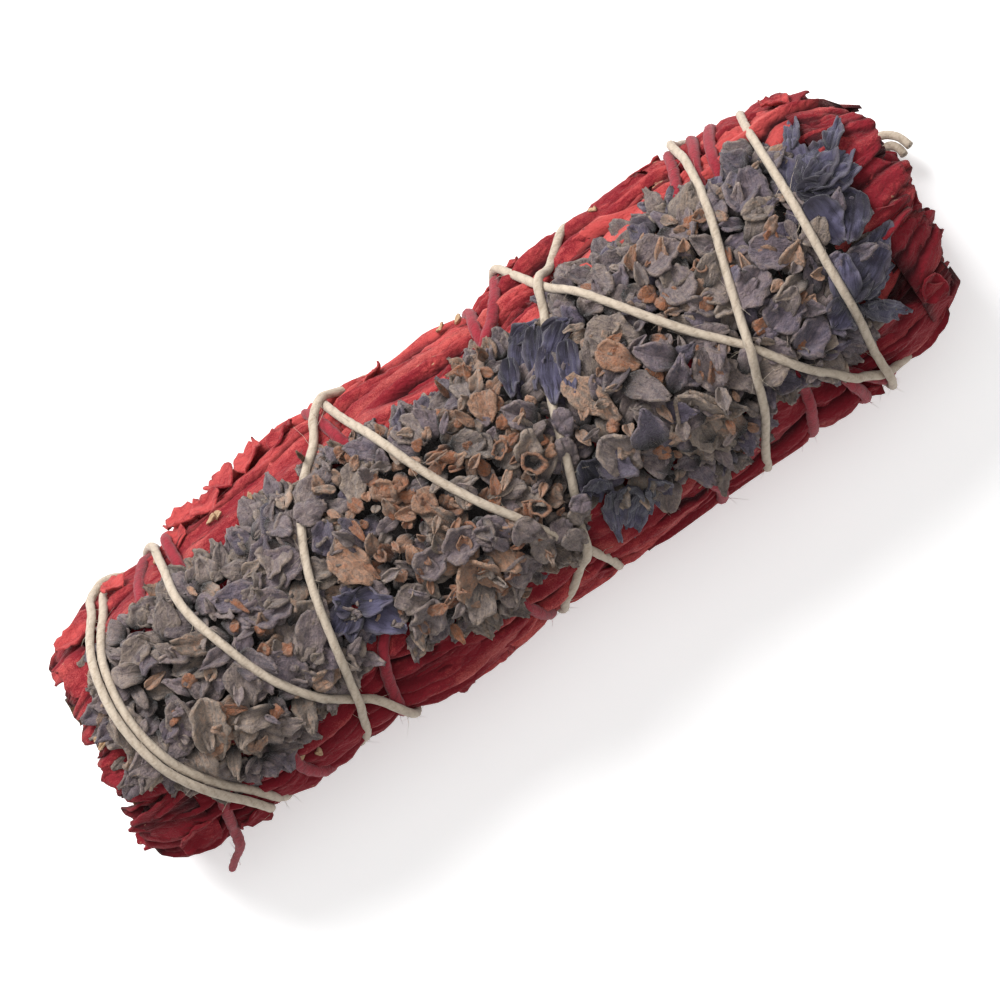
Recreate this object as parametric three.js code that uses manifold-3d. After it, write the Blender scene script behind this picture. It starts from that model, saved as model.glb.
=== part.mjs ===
// A hand-tied stick of dyed sage: six leafy sprigs pressed into a bundle, a red cord round the
// leaves, three dried flower heads with blue florets on top, and a white cord round it all.
// Millimetres. The stick lies along X on the plane z = 0, with its flowers up.
// A place on the bundle is given as [x, angle]: the angle turns about the middle of the bundle,
// 0 at the top, 90 at the +Y side and 180 underneath.

import * as THREE from 'three';
import { mergeVertices } from 'three/addons/utils/BufferGeometryUtils.js';
import Module from 'manifold-3d';

const wasm = await Module();
wasm.setup();

// Driving dimensions
const axisHeight = 13.1;        // middle of the bundle above the surface that it lies on
const halfHeight = 13.3;        // middle of the bundle to its top and bottom
const sprigCount = 6;
const coreDepth = 0.9;          // how far the pressed core of a sprig lies under the leaf skin
const foldHeight = 0.28;        // how far the folds of the leaves rise over the leaf skin
const bladeThickness = 0.75;
const whiteRadius = 0.55;
const redRadius = 0.65;
const stemRadius = 1.7;
const clearance = 0.32;         // gap kept between pieces that touch
const sliver = 0.1;             // faces finer than this are simplified away
const headLow = 0.8;            // height of the flower heads' underside over the leaf skin
const moundSwell = 0.55;        // how full the flower heads' mounds are: less is fuller

// The bundle's outline: x, half width towards +Y, half width towards -Y, share of the half height
const outlineStations = [
  [-52, 7.8, 9, 0.66],
  [-47.5, 11, 12, 0.86],
  [-43, 12.4, 12.7, 0.97],
  [-34, 13.2, 13.4, 1.0],
  [-25, 14.1, 13, 1.0],
  [-16, 14.9, 14.5, 1.0],
  [-4, 14.3, 13.5, 1.0],
  [5, 13.8, 14, 1.0],
  [18, 14.8, 14.2, 1.0],
  [28, 14.3, 14.6, 1.0],
  [36, 14.2, 15, 1.0],
  [42, 12.9, 13.3, 0.97],
  [47, 10.6, 11.1, 0.85],
  [52, 7, 7.4, 0.6],
];

// The flower heads: middle x and angle, half length, half width in degrees, the ends that their scales
// keep to, height over the leaves, the end that their tip points to
const heads = [
  {
    x: -33.2, angle: 0, halfLength: 12.6, halfTurn: 37, from: -52, to: -19.6, height: 3.7,
    tip: -1, bracts: 30, seed: 11,
  },
  {
    x: -7.6, angle: 1, halfLength: 11.2, halfTurn: 41, from: -19.2, to: 4.8, height: 4.0,
    tip: 1, bracts: 30, seed: 23,
  },
  {
    x: 25.2, angle: -1, halfLength: 16.2, halfTurn: 43, from: 5.2, to: 52, height: 4.1,
    tip: 1, bracts: 40, seed: 37,
  },
];

// The blue florets: root x and angle, the way they point in degrees from +X towards +angle, petals
const florets = [
  { x: 4.6, angle: 20, way: 120, petals: 3, length: 6.2, seed: 5 },
  { x: -18.6, angle: -14, way: -70, petals: 4, length: 6.4, seed: 9 },
  { x: 6.9, angle: -34, way: -95, petals: 3, length: 5.6, seed: 15 },
  { x: 40.0, angle: 24, way: 35, petals: 4, length: 7.4, seed: 21 },
  { x: 38.6, angle: -20, way: -15, petals: 4, length: 6.6, seed: 27 },
];

// The red cord's route, turn by turn, from the butt end out and back
const redRoute = [
  [
    [-24, 165], [-27.5, 140], [-31, 100], [-31.9, 66], [-32.2, 40], [-32.6, 5], [-33.6, -30],
    [-34.2, -60], [-31, -92], [-25.5, -122], [-21, -150],
  ],
  [
    [-18, 150], [-14.2, 105], [-12.8, 75], [-11.6, 42], [-9.8, 5], [-8, -35], [-6, -75],
    [-4.5, -110], [-1, -160],
  ],
  [
    [3, 150], [5.2, 105], [5.8, 76], [5.4, 42], [10.8, 16], [17, -5], [24, -26], [30.3, -46],
    [34.8, -75], [37.2, -110], [38.7, -160],
  ],
  [
    [38.6, 150], [37, 110], [35.8, 82], [33.7, 42], [32.4, 5], [31.6, -25], [31.8, -50],
    [32.8, -80], [32.2, -120], [31.8, -165],
  ],
  [
    [32.8, 140], [33.8, 104], [33.7, 76], [31.5, 42], [29.8, 5], [28.6, -25], [28, -52],
    [26.8, -82], [26, -120], [27.4, -165],
  ],
  [
    [30, 130], [31.2, 90], [29.2, 47], [25, 20], [20, -12], [15.2, -52], [15.7, -80], [14, -120],
    [12, -165],
  ],
  [
    [10.7, 140], [9.9, 88], [7.8, 60], [3, 34], [-6, 10], [-14, -12], [-20.4, -30], [-22.6, -58],
    [-23.2, -95], [-26.8, -150],
  ],
  [
    [-29.6, 150], [-34, 100], [-35.9, 72], [-37.6, 40], [-39.6, 5], [-41.4, -30], [-42.8, -58],
    [-43.5, -80],
  ],
];
const redTail = [[-44.2, -15.1, 11.8], [-45.5, -15.9, 8.6], [-46.6, -16.6, 5.4]];

// The white cord's route, from its start under the tip end round by round to the butt end and back.
// It turns the other way, so its angles rise.
const whiteRoute = [
  [
    [43, -176], [41.5, -130], [38.8, -90], [34.6, -65], [30, -38], [26, -16], [22, -1], [18, 17],
    [14, 40], [11.5, 76], [9.4, 105], [7, 150],
  ],
  [
    [4.6, -160], [3.2, -110], [2.6, -70], [0.4, -37], [-2, -19], [-4.5, -5], [-7.2, 13],
    [-9.2, 34], [-11, 68], [-11.6, 105], [-14.4, 150],
  ],
  [
    [-17.4, -150], [-21.2, -105], [-22.8, -62], [-25.8, -44], [-28.9, -26], [-31.3, -11],
    [-32.8, 5], [-34, 24], [-33.5, 55], [-33.4, 88], [-35, 110], [-36.8, 135],
  ],
  [
    [-37, -160], [-37, -110], [-37.6, -68], [-41, -34], [-43.2, -14], [-43.9, 7], [-42.7, 33],
    [-40.2, 66], [-39.8, 105], [-40.2, 150],
  ],
  [
    [-40.3, -160], [-40, -110], [-39.4, -68], [-42.8, -34], [-45, -14], [-45.7, 7], [-44.5, 33],
    [-42.2, 66], [-41.2, 92], [-37.2, 110], [-34.4, 128], [-33.2, 150],
  ],
  [
    [-32.4, -175], [-29, -115], [-26.8, -66], [-25.2, -33], [-24, -13], [-22.4, 6], [-19.6, 25],
    [-14.8, 52], [-11, 76], [-7.6, 90], [-5.2, 115], [-5, 150],
  ],
  [
    [-4.6, -170], [-4.6, -120], [-3, -78], [-0.4, -60], [1.6, -41], [4, -19], [6.2, 0],
    [8.6, 19], [11.8, 40], [15, 62], [19, 86], [21.4, 115], [21.6, 150],
  ],
  [
    [21.2, -165], [20.6, -120], [21, -85], [22.6, -52], [24.5, -26], [26.5, -8], [28.4, 8],
    [30.6, 27], [31.9, 56], [32.2, 92], [34.6, 115], [35.6, 140],
  ],
  [
    [35.6, -165], [35.6, -115], [35.7, -70], [35.9, -45], [36.6, -12], [37.7, 16], [38.6, 52],
    [39.6, 95], [41, 140], [42.6, 172],
  ],
];
const whiteTails = {
  start: [[51.9, 0.8, 3.6], [50.6, 1.4, 2.0], [48.4, 1.4, 1.0], [46.0, 0.8, 0.8]],
  end: [[44.4, 2.7, 0.9], [47.2, 3.8, 0.8], [50.0, 4.0, 1.8], [51.8, 3.0, 3.9]],
};

const colours = {
  leaf: 0x9c2b2e,
  stem: 0xa08158,
  redCord: 0xa93246,
  whiteCord: 0xd8ccb6,
  bract: 0x756a70,
  petal: 0x5b5a7d,
};

const degree = Math.PI / 180;

// The same draws in every run
function seededRandom(seed) {
  let state = seed * 7919 + 13;
  return () => {
    state = (state * 16807) % 2147483647;
    return state / 2147483647;
  };
}

function outlineAt(x) {
  const last = outlineStations.length - 1;
  const clamped = Math.min(Math.max(x, outlineStations[0][0]), outlineStations[last][0]);
  const next = Math.max(1, outlineStations.findIndex((station) => station[0] >= clamped));
  const [from, to] = [outlineStations[next - 1], outlineStations[next]];
  const share = (clamped - from[0]) / (to[0] - from[0]);
  return [1, 2, 3].map((column) => from[column] + (to[column] - from[column]) * share);
}

// A point over the leaf skin. depth 1 is the skin itself and 0 the middle of the bundle.
function skinPoint(x, angle, rise, depth = 1) {
  const [plusSide, minusSide, tall] = outlineAt(x);
  const across = Math.sin(angle * degree);
  const up = Math.cos(angle * degree);
  const side = across >= 0 ? plusSide : minusSide;
  return new THREE.Vector3(
    x,
    across * (side * depth + rise),
    axisHeight + up * (halfHeight * tall * depth + rise),
  );
}

// How high a point lies over the leaf skin, with the angle that it lies at
function overSkin(point) {
  const [plusSide, minusSide, tall] = outlineAt(point.x);
  const side = point.y >= 0 ? plusSide : minusSide;
  const across = point.y / side;
  const up = (point.z - axisHeight) / (halfHeight * tall);
  const angle = Math.atan2(across, up) / degree;
  return { angle, rise: (Math.hypot(across, up) - 1) * Math.hypot(side * Math.sin(angle * degree),
    halfHeight * tall * Math.cos(angle * degree)) };
}

// Height of the flower heads' mounds over the skin, 0 where there is none
function moundRise(x, angle) {
  let rise = 0;
  for (const head of heads) {
    const along = (x - head.x) / head.halfLength;
    const round = (angle - head.angle) / head.halfTurn;
    const inside = 1 - along * along - round * round;
    if (inside > 0) rise = Math.max(rise, headLow + head.height * inside ** moundSwell);
  }
  return rise;
}

// Solids
function solidFromTriangles(points, triangles) {
  let volume = 0;
  for (const [a, b, c] of triangles) {
    volume += points[a].dot(points[b].clone().cross(points[c]));
  }
  const outward = volume > 0 ? triangles : triangles.map(([a, b, c]) => [a, c, b]);
  const vertProperties = new Float32Array(points.flatMap((point) => [point.x, point.y, point.z]));
  const triVerts = new Uint32Array(outward.flat());
  return new wasm.Manifold(new wasm.Mesh({ numProp: 3, vertProperties, triVerts }));
}

function solidFromGeometry(geometry) {
  geometry.deleteAttribute('normal');
  geometry.deleteAttribute('uv');
  const merged = mergeVertices(geometry, 1e-4);
  const place = merged.getAttribute('position');
  const points = [];
  for (let i = 0; i < place.count; i++) points.push(new THREE.Vector3().fromBufferAttribute(place, i));
  const corners = merged.getIndex().array;
  const triangles = [];
  for (let i = 0; i < corners.length; i += 3) {
    const [a, b, c] = [corners[i], corners[i + 1], corners[i + 2]];
    if (a !== b && b !== c && c !== a) triangles.push([a, b, c]);
  }
  return solidFromTriangles(points, triangles);
}

// A closed blade between two matching grids of points, both split into triangles alike
function bladeSolid(outer, inner) {
  const rows = outer.length;
  const columns = outer[0].length;
  const points = [...outer.flat(), ...inner.flat()];
  const at = (face, row, column) => (face * rows + row) * columns + column;
  const triangles = [];
  const quad = (a, b, c, d) => triangles.push([a, b, c], [a, c, d]);
  for (let i = 0; i < rows - 1; i++) {
    for (let j = 0; j < columns - 1; j++) {
      const corner = (face) => [
        at(face, i, j),
        at(face, i + 1, j),
        at(face, i + 1, j + 1),
        at(face, i, j + 1),
      ];
      const turn = (i + j) % 2;
      const [a, b, c, d] = corner(0);
      const [e, f, g, h] = corner(1);
      if (turn) {
        quad(a, b, c, d);
        quad(e, h, g, f);
      } else {
        quad(b, c, d, a);
        triangles.push([f, e, h], [f, h, g]);
      }
    }
  }
  for (let i = 0; i < rows - 1; i++) {
    quad(at(0, i + 1, 0), at(0, i, 0), at(1, i, 0), at(1, i + 1, 0));
    const far = columns - 1;
    quad(at(0, i, far), at(0, i + 1, far), at(1, i + 1, far), at(1, i, far));
  }
  for (let j = 0; j < columns - 1; j++) {
    quad(at(0, 0, j), at(0, 0, j + 1), at(1, 0, j + 1), at(1, 0, j));
    const far = rows - 1;
    quad(at(0, far, j + 1), at(0, far, j), at(1, far, j), at(1, far, j + 1));
  }
  return solidFromTriangles(points, triangles);
}

// A closed solid through rings of points, its flat ends fanned from each ring's first point
function ringSolid(rings) {
  const size = rings[0].length;
  const triangles = [];
  for (let i = 0; i < rings.length - 1; i++) {
    for (let j = 0; j < size; j++) {
      const next = (j + 1) % size;
      const near = i * size;
      const far = near + size;
      triangles.push([near + j, near + next, far + next], [near + j, far + next, far + j]);
    }
  }
  const lastRing = (rings.length - 1) * size;
  for (let j = 1; j < size - 1; j++) {
    triangles.push([0, j + 1, j], [lastRing, lastRing + j, lastRing + j + 1]);
  }
  return solidFromTriangles(rings.flat(), triangles);
}

function tubeSolid(points, radius, sides, spacing) {
  const path = new THREE.CatmullRomCurve3(points, false, 'centripetal');
  const ring = [];
  for (let i = 0; i < sides; i++) {
    const turn = (i / sides) * 2 * Math.PI;
    ring.push(new THREE.Vector2(Math.cos(turn) * radius, Math.sin(turn) * radius));
  }
  const steps = Math.max(1, Math.round(path.getLength() / spacing));
  const options = { steps, bevelEnabled: false, extrudePath: path };
  return solidFromGeometry(new THREE.ExtrudeGeometry(new THREE.Shape(ring), options));
}

// The largest body of a cut solid, without its slivers: scraps cut loose are dropped
function finished(solid) {
  const bodies = solid.simplify(sliver).decompose();
  bodies.sort((a, b) => b.volume() - a.volume());
  return bodies[0];
}

function meshFromSolid(name, solid, colour, roughness) {
  const mesh = solid.getMesh();
  const geometry = new THREE.BufferGeometry();
  const corners = new Float32Array(mesh.vertProperties);
  geometry.setAttribute('position', new THREE.BufferAttribute(corners, 3));
  geometry.setIndex(new THREE.BufferAttribute(new Uint32Array(mesh.triVerts), 1));
  geometry.computeVertexNormals();
  const material = new THREE.MeshStandardMaterial({ color: colour, roughness, metalness: 0 });
  const piece = new THREE.Mesh(geometry, material);
  piece.name = name;
  return piece;
}

// Cords: a route of turns becomes points that lie on what is below, and over strands laid before
const layTop = foldHeight + clearance;   // underside of a cord over the leaf skin at top and sides
const strandSpacing = 1.3;      // between the points of a laid cord
const ownReach = 16;            // points of its own that a strand can't cross
const humpReach = [1.5, 2.7];   // a strand this near another one passes over it, wholly and not at all
const tautReach = 3;            // points on each side that a taut strand evens its height over
const sunkFrom = [143, 161];     // angles between which a cord sinks into the leaves underneath
const headPad = 1.2;            // middle of the white cord over the mound of a flower head
const degreesPerLength = 4;     // degrees round the bundle to one millimetre of its skin

function smoothStep(from, to, value) {
  const share = Math.min(Math.max((value - from) / (to - from), 0), 1);
  return share * share * (3 - 2 * share);
}

function layCord(route, sense, radius, sunkUnderneath, earlier, overHeads) {
  const guide = route.flatMap((turn, index) => turn.map(
    ([x, angle]) => new THREE.Vector3(x, (angle + sense * 360 * index) / degreesPerLength, 0),
  ));
  const line = new THREE.CatmullRomCurve3(guide, false, 'centripetal');
  const count = Math.round(line.getLength() / strandSpacing);
  const strand = line.getSpacedPoints(count).map((point) => {
    const turned = point.y * degreesPerLength;
    const angle = turned - 360 * Math.round(turned / 360);
    const under = smoothStep(...sunkFrom, Math.abs(angle));
    let rise = layTop + radius - under * (layTop + radius + sunkUnderneath);
    const mound = moundRise(point.x, angle);
    if (overHeads && mound > 0) rise = Math.max(rise, mound + headPad);
    return { x: point.x, angle, radius, rise };
  });
  strand.forEach((spot, index) => {
    const own = strand.slice(0, Math.max(0, index - ownReach));
    let rise = spot.rise;
    for (const other of [...earlier, ...own]) {
      const turnBetween = Math.abs(spot.angle - other.angle);
      const round = Math.min(turnBetween, 360 - turnBetween) / degreesPerLength;
      const apart = Math.hypot(spot.x - other.x, round);
      if (apart > humpReach[1]) continue;
      const over = other.rise + other.radius + radius + clearance;
      rise = Math.max(rise, spot.rise + (over - spot.rise) * (1 - smoothStep(...humpReach, apart)));
    }
    spot.rise = rise;
  });
  const heights = strand.map((spot) => spot.rise);
  strand.forEach((spot, index) => {
    const near = heights.slice(Math.max(0, index - tautReach), index + tautReach + 1);
    const mean = near.reduce((sum, height) => sum + height, 0) / near.length;
    spot.rise = Math.max(spot.rise, mean);
  });
  return strand;
}

function strandPoints(strand) {
  return strand.map((spot) => skinPoint(spot.x, spot.angle, spot.rise));
}

const redStrand = layCord(redRoute, -1, redRadius, 1.05, [], false);
const redPoints = [...strandPoints(redStrand), ...redTail.map((place) => new THREE.Vector3(...place))];
const whiteStrand = layCord(whiteRoute, 1, whiteRadius, 0.95, redStrand, true);
const whitePoints = [
  ...whiteTails.start.map((place) => new THREE.Vector3(...place)),
  ...strandPoints(whiteStrand),
  ...whiteTails.end.map((place) => new THREE.Vector3(...place)),
];
const cordStep = 5.75;
const cordSides = 5;
const redCord = tubeSolid(redPoints, redRadius, cordSides, cordStep);
const whiteCord = tubeSolid(whitePoints, whiteRadius, cordSides, cordStep);
const grooveRadius = (cordRadius) => cordRadius * 1.12 + clearance;
const redGroove = tubeSolid(redPoints, grooveRadius(redRadius), cordSides, cordStep);
const whiteGroove = tubeSolid(whitePoints, grooveRadius(whiteRadius), cordSides, cordStep);

// Leafy sprigs
const coreStations = [-46.5, -34, -16, 5, 28, 40, 45.5];
const coreStagger = 1.6;        // how unevenly the sprigs end
const sectorTurn = 360 / sprigCount;

function sprigCore(middle, random) {
  const edge = sectorTurn / 2 - 1.1;
  const arcSteps = 3;
  const last = coreStations.length - 1;
  const rings = coreStations.map((station, i) => {
    const x = station + (i === 0 || i === last ? (random() - 0.5) * 2 * coreStagger : 0);
    const ring = [skinPoint(x, middle, 0.55, 0)];
    for (let j = 0; j <= arcSteps; j++) {
      ring.push(skinPoint(x, middle - edge + (2 * edge * j) / arcSteps, -coreDepth));
    }
    return ring;
  });
  return ringSolid(rings);
}

// Half width of a leaf along it, 0 to 1: broad, with a short tip and a toothed edge
function leafWidth(share, step) {
  const broad = Math.sin(Math.PI * Math.min(Math.max(share, 0.06), 0.94)) ** 0.42;
  return broad * (step % 2 ? 1.06 : 0.9);
}

function skinLeaf(middle, from, to, centre, halfTurn, random) {
  const rows = 6;
  const columns = 3;
  const limit = sectorTurn / 2 - 1.4;
  const outer = [];
  const inner = [];
  for (let i = 0; i <= rows; i++) {
    const share = i / rows;
    const outerRow = [];
    const innerRow = [];
    for (let j = 0; j <= columns; j++) {
      const across = (j / columns) * 2 - 1;
      const ragged = i === 0 || i === rows ? 3.2 : 1.2;
      const x = from + (to - from) * share + (random() - 0.5) * ragged;
      const wanted = centre - middle + across * halfTurn * leafWidth(share, i + (across > 0 ? 1 : 0));
      const angle = middle + Math.min(Math.max(wanted, -limit), limit);
      const rise = foldHeight * (j % 2 ? 0.6 : -0.6) + (random() - 0.5) * foldHeight * 0.8;
      const beyondCore = x < coreStations[0] || x > coreStations[coreStations.length - 1];
      const under = beyondCore ? rise - bladeThickness : -coreDepth - 0.5;
      outerRow.push(skinPoint(x, angle, rise));
      innerRow.push(skinPoint(x, angle, under));
    }
    outer.push(outerRow);
    inner.push(innerRow);
  }
  return bladeSolid(outer, inner);
}

// A short leaf end inside the bundle, seen at one of its two ends
function endLeaf(middle, from, to, depth, halfTurn, random) {
  const columns = 3;
  const outer = [];
  const inner = [];
  for (const x of [from, to]) {
    const outerRow = [];
    const innerRow = [];
    for (let j = 0; j <= columns; j++) {
      const angle = middle + ((j / columns) * 2 - 1) * halfTurn;
      const wave = x === to ? (j % 2 ? 0.7 : -0.7) + (random() - 0.5) * 0.5 : 0;
      const end = x === to ? (random() - 0.5) * 2.6 : 0;
      outerRow.push(skinPoint(x + end, angle, wave + bladeThickness / 2, depth));
      innerRow.push(skinPoint(x + end, angle, wave - bladeThickness / 2, depth));
    }
    outer.push(outerRow);
    inner.push(innerRow);
  }
  return bladeSolid(outer, inner);
}

const stemDepth = 0.46;
const stemFrom = -50.6;
const stemTo = 18;

function stemPath(middle, from, to) {
  const points = [];
  const bends = 3;
  for (let i = 0; i <= bends; i++) {
    const x = from + ((to - from) * i) / bends;
    const sway = Math.sin(x / 9 + middle) * 0.35;
    const place = skinPoint(0, middle, sway, stemDepth);
    points.push(new THREE.Vector3(x, place.y, place.z));
  }
  return points;
}

const sinkTop = 4.6;            // the cords lie over the leaves above this height and sink in below it
const belowSurface = solidFromGeometry(new THREE.BoxGeometry(140, 80, 20).translate(0, 0, -10));
const aboveSink = solidFromGeometry(new THREE.BoxGeometry(140, 80, 60).translate(0, 0, 30 + sinkTop));
const sunkGrooves = redGroove.add(whiteGroove).subtract(aboveSink);

function leafySprig(index) {
  const middle = index * sectorTurn;
  const random = seededRandom(101 + index);
  const shift = (index % 2) * 6;
  let sprig = sprigCore(middle, random);
  const leaves = [
    skinLeaf(middle, -50.4, -12 + shift, middle, 29.5, random),
    skinLeaf(middle, -18 + shift, 18 + shift, middle, 30.5, random),
    skinLeaf(middle, 12 + shift, 50, middle, 29.5, random),
  ];
  for (const leaf of leaves) sprig = sprig.add(leaf);
  for (const depth of [0.76, 0.56]) {
    sprig = sprig.add(endLeaf(middle, -45.5, -49.6, depth, 19, random));
    sprig = sprig.add(endLeaf(middle, 44.5, 48.6, depth, 20, random));
  }
  const holePath = stemPath(middle, stemFrom - 6, stemTo + 0.6);
  const stemHole = tubeSolid(holePath, stemRadius + clearance + 0.1, 6, 24);
  return finished(sprig.subtract(stemHole).subtract(sunkGrooves).subtract(belowSurface));
}

// Flower heads. A ring of 0 is the middle of a head and 1 is its rim.
function moundHeight(head, ring) {
  return headLow + head.height * Math.max(1 - ring * ring, 0) ** moundSwell;
}

function clearOfSkin(point) {
  const { angle, rise } = overSkin(point);
  return rise < headLow ? skinPoint(point.x, angle, headLow) : point;
}

function headMound(head) {
  const spokes = 11;
  const rings = [0.5, 0.82, 1];
  const points = [];
  const triangles = [];
  const place = (ring, turn, outside) => {
    const angle = head.angle + Math.sin(turn) * head.halfTurn * ring;
    let rise = outside ? moundHeight(head, ring) : headLow;
    if (ring === 1) rise = headLow + 0.3;
    return skinPoint(head.x + Math.cos(turn) * head.halfLength * ring, angle, rise);
  };
  for (const outside of [true, false]) {
    const first = points.length;
    points.push(place(0, 0, outside));
    for (const ring of rings.slice(0, 2)) {
      for (let i = 0; i < spokes; i++) points.push(place(ring, (i / spokes) * 2 * Math.PI, outside));
    }
    const rim = 1 + 2 * spokes;
    if (outside) {
      for (let i = 0; i < spokes; i++) points.push(place(1, (i / spokes) * 2 * Math.PI, true));
    }
    for (let i = 0; i < spokes; i++) {
      const next = (i + 1) % spokes;
      const at = (ring, spoke) => (ring === 2 ? rim + spoke : first + 1 + ring * spokes + spoke);
      const fan = [[first, at(0, i), at(0, next)]];
      for (const ring of [0, 1]) {
        const outerNext = at(ring + 1, next);
        fan.push([at(ring, i), at(ring + 1, i), outerNext], [at(ring, i), outerNext, at(ring, next)]);
      }
      for (const [a, b, c] of fan) triangles.push(outside ? [a, b, c] : [a, c, b]);
    }
  }
  return solidFromTriangles(points, triangles);
}

// One cupped, pointed scale that grows out of a surface at root, along way, leaning off the surface
function scaleSolid(root, way, normal, length, width, lean, cup, head) {
  const side = way.clone().cross(normal).normalize();
  const belly = 0.42;
  const corners = [
    [-0.3, 0, -0.8],
    [belly, -1, lean * belly + cup],
    [1, 0, lean],
    [belly, 1, lean * belly + cup],
    [belly * 0.9, 0, lean * belly],
    [belly * 0.9, 0, lean * belly - bladeThickness],
  ];
  const points = corners.map(([along, across, up]) => {
    const point = root.clone()
      .addScaledVector(way, along * length)
      .addScaledVector(side, (across * width) / 2)
      .addScaledVector(normal, up);
    point.x = Math.min(Math.max(point.x, head.from), head.to);
    return clearOfSkin(point);
  });
  const triangles = [];
  for (let i = 0; i < 4; i++) {
    const next = (i + 1) % 4;
    triangles.push([i, next, 4], [next, i, 5]);
  }
  return solidFromTriangles(points, triangles);
}

// The way along the skin at a place: along the stick and round it, with the way out
function skinFrame(x, angle, rise) {
  const place = skinPoint(x, angle, rise);
  const along = skinPoint(x + 0.5, angle, rise).sub(place).normalize();
  const round = skinPoint(x, angle + 2, rise).sub(place).normalize();
  const out = along.clone().cross(round).normalize();
  if (out.z < 0) out.negate();
  return { place, along, round, out };
}

function flowerHead(head) {
  const random = seededRandom(head.seed);
  const golden = Math.PI * (3 - Math.sqrt(5));
  let solid = headMound(head);
  for (let i = 0; i < head.bracts; i++) {
    const ring = Math.sqrt((i + 0.5) / head.bracts) * 0.96;
    const turn = i * golden;
    const x = head.x + Math.cos(turn) * head.halfLength * ring;
    const angle = head.angle + Math.sin(turn) * head.halfTurn * ring;
    const rise = moundHeight(head, ring);
    const { place, along, round, out } = skinFrame(x, angle, rise);
    const heading = turn + (random() - 0.5) * 0.9;
    const way = along.clone().multiplyScalar(Math.cos(heading) * ring + head.tip * 0.45)
      .addScaledVector(round, Math.sin(heading) * ring).normalize();
    const length = 4.2 + random() * 1.5;
    const width = 3.6 + random() * 1.1;
    const lean = (1 - ring) * 1.1 + 0.75 + random() * 0.5;
    const cup = random() < 0.6 ? 0.45 : -0.35;
    solid = solid.add(scaleSolid(place, way, out, length, width, lean, cup, head));
  }
  return solid;
}

// Blue florets: a short calyx with a fan of broad, wavy petals
function floretSolid(floret, grow) {
  const random = seededRandom(floret.seed);
  const base = Math.max(moundRise(floret.x, floret.angle), headLow) + 0.5;
  const { place, along, round, out } = skinFrame(floret.x, floret.angle, base);
  const calyx = new THREE.SphereGeometry(1.6 + grow, 5, 3).translate(place.x, place.y, place.z + 0.5);
  let solid = solidFromGeometry(calyx);
  for (let i = 0; i < floret.petals; i++) {
    const fan = (floret.petals > 1 ? i / (floret.petals - 1) - 0.5 : 0) * 95;
    const heading = (floret.way + fan) * degree;
    const way = along.clone().multiplyScalar(Math.cos(heading))
      .addScaledVector(round, Math.sin(heading));
    const side = way.clone().cross(out).normalize();
    const outer = [];
    const inner = [];
    for (let row = 0; row <= 2; row++) {
      const share = row / 2;
      const outerRow = [];
      const innerRow = [];
      const half = [0.9, 2.1, 1.2][row] + grow;
      for (let j = 0; j <= 2; j++) {
        const across = j - 1;
        const wave = across === 0 ? -0.35 : 0.3 * (row % 2 ? 1 : -0.4) * across + random() * 0.3;
        const up = 1.0 + (i % 2) * 0.5 + Math.sin(share * Math.PI) * 0.7 + wave;
        const point = place.clone()
          .addScaledVector(way, share * floret.length + grow * (row === 2 ? 1 : 0))
          .addScaledVector(side, across * half);
        outerRow.push(clearOfSkin(point.clone().addScaledVector(out, up + grow)));
        innerRow.push(clearOfSkin(point.clone().addScaledVector(out, up - bladeThickness - grow)));
      }
      outer.push(outerRow);
      inner.push(innerRow);
    }
    solid = solid.add(bladeSolid(outer, inner));
  }
  return solid;
}

// The assembly
const stick = new THREE.Group();

for (let i = 0; i < sprigCount; i++) {
  const stem = tubeSolid(stemPath(i * sectorTurn, stemFrom, stemTo), stemRadius, 6, 24);
  stick.add(meshFromSolid(`sage_leaves_${i + 1}`, leafySprig(i), colours.leaf, 0.85));
  stick.add(meshFromSolid(`sage_stem_${i + 1}`, stem, colours.stem, 0.9));
}

stick.add(meshFromSolid('red_tie_cord', redCord, colours.redCord, 0.9));

const floretSpace = florets.map((floret) => floretSolid(floret, clearance));
heads.forEach((head, i) => {
  let solid = flowerHead(head).subtract(redGroove).subtract(whiteGroove);
  for (const space of floretSpace) solid = solid.subtract(space);
  stick.add(meshFromSolid(`flower_head_${i + 1}`, finished(solid), colours.bract, 0.95));
});
florets.forEach((floret, i) => {
  const solid = finished(floretSolid(floret, 0).subtract(redGroove).subtract(whiteGroove));
  stick.add(meshFromSolid(`blue_floret_${i + 1}`, solid, colours.petal, 0.9));
});

stick.add(meshFromSolid('white_tie_cord', whiteCord, colours.whiteCord, 0.9));

// The origin is under the middle of the stick, on the surface that it lies on
const box = new THREE.Box3().setFromObject(stick);
stick.position.set(-(box.min.x + box.max.x) / 2, -(box.min.y + box.max.y) / 2, 0);

export default stick;
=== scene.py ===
# A hand-tied stick of dyed sage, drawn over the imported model: crumpled red leaves, two cotton cords,
# three dried flower heads and blue petals. Sizes are in millimetres and turned into metres at the end.
import math
import bpy
import numpy as np
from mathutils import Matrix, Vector
from mathutils.bvhtree import BVHTree
from mathutils.kdtree import KDTree


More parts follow.
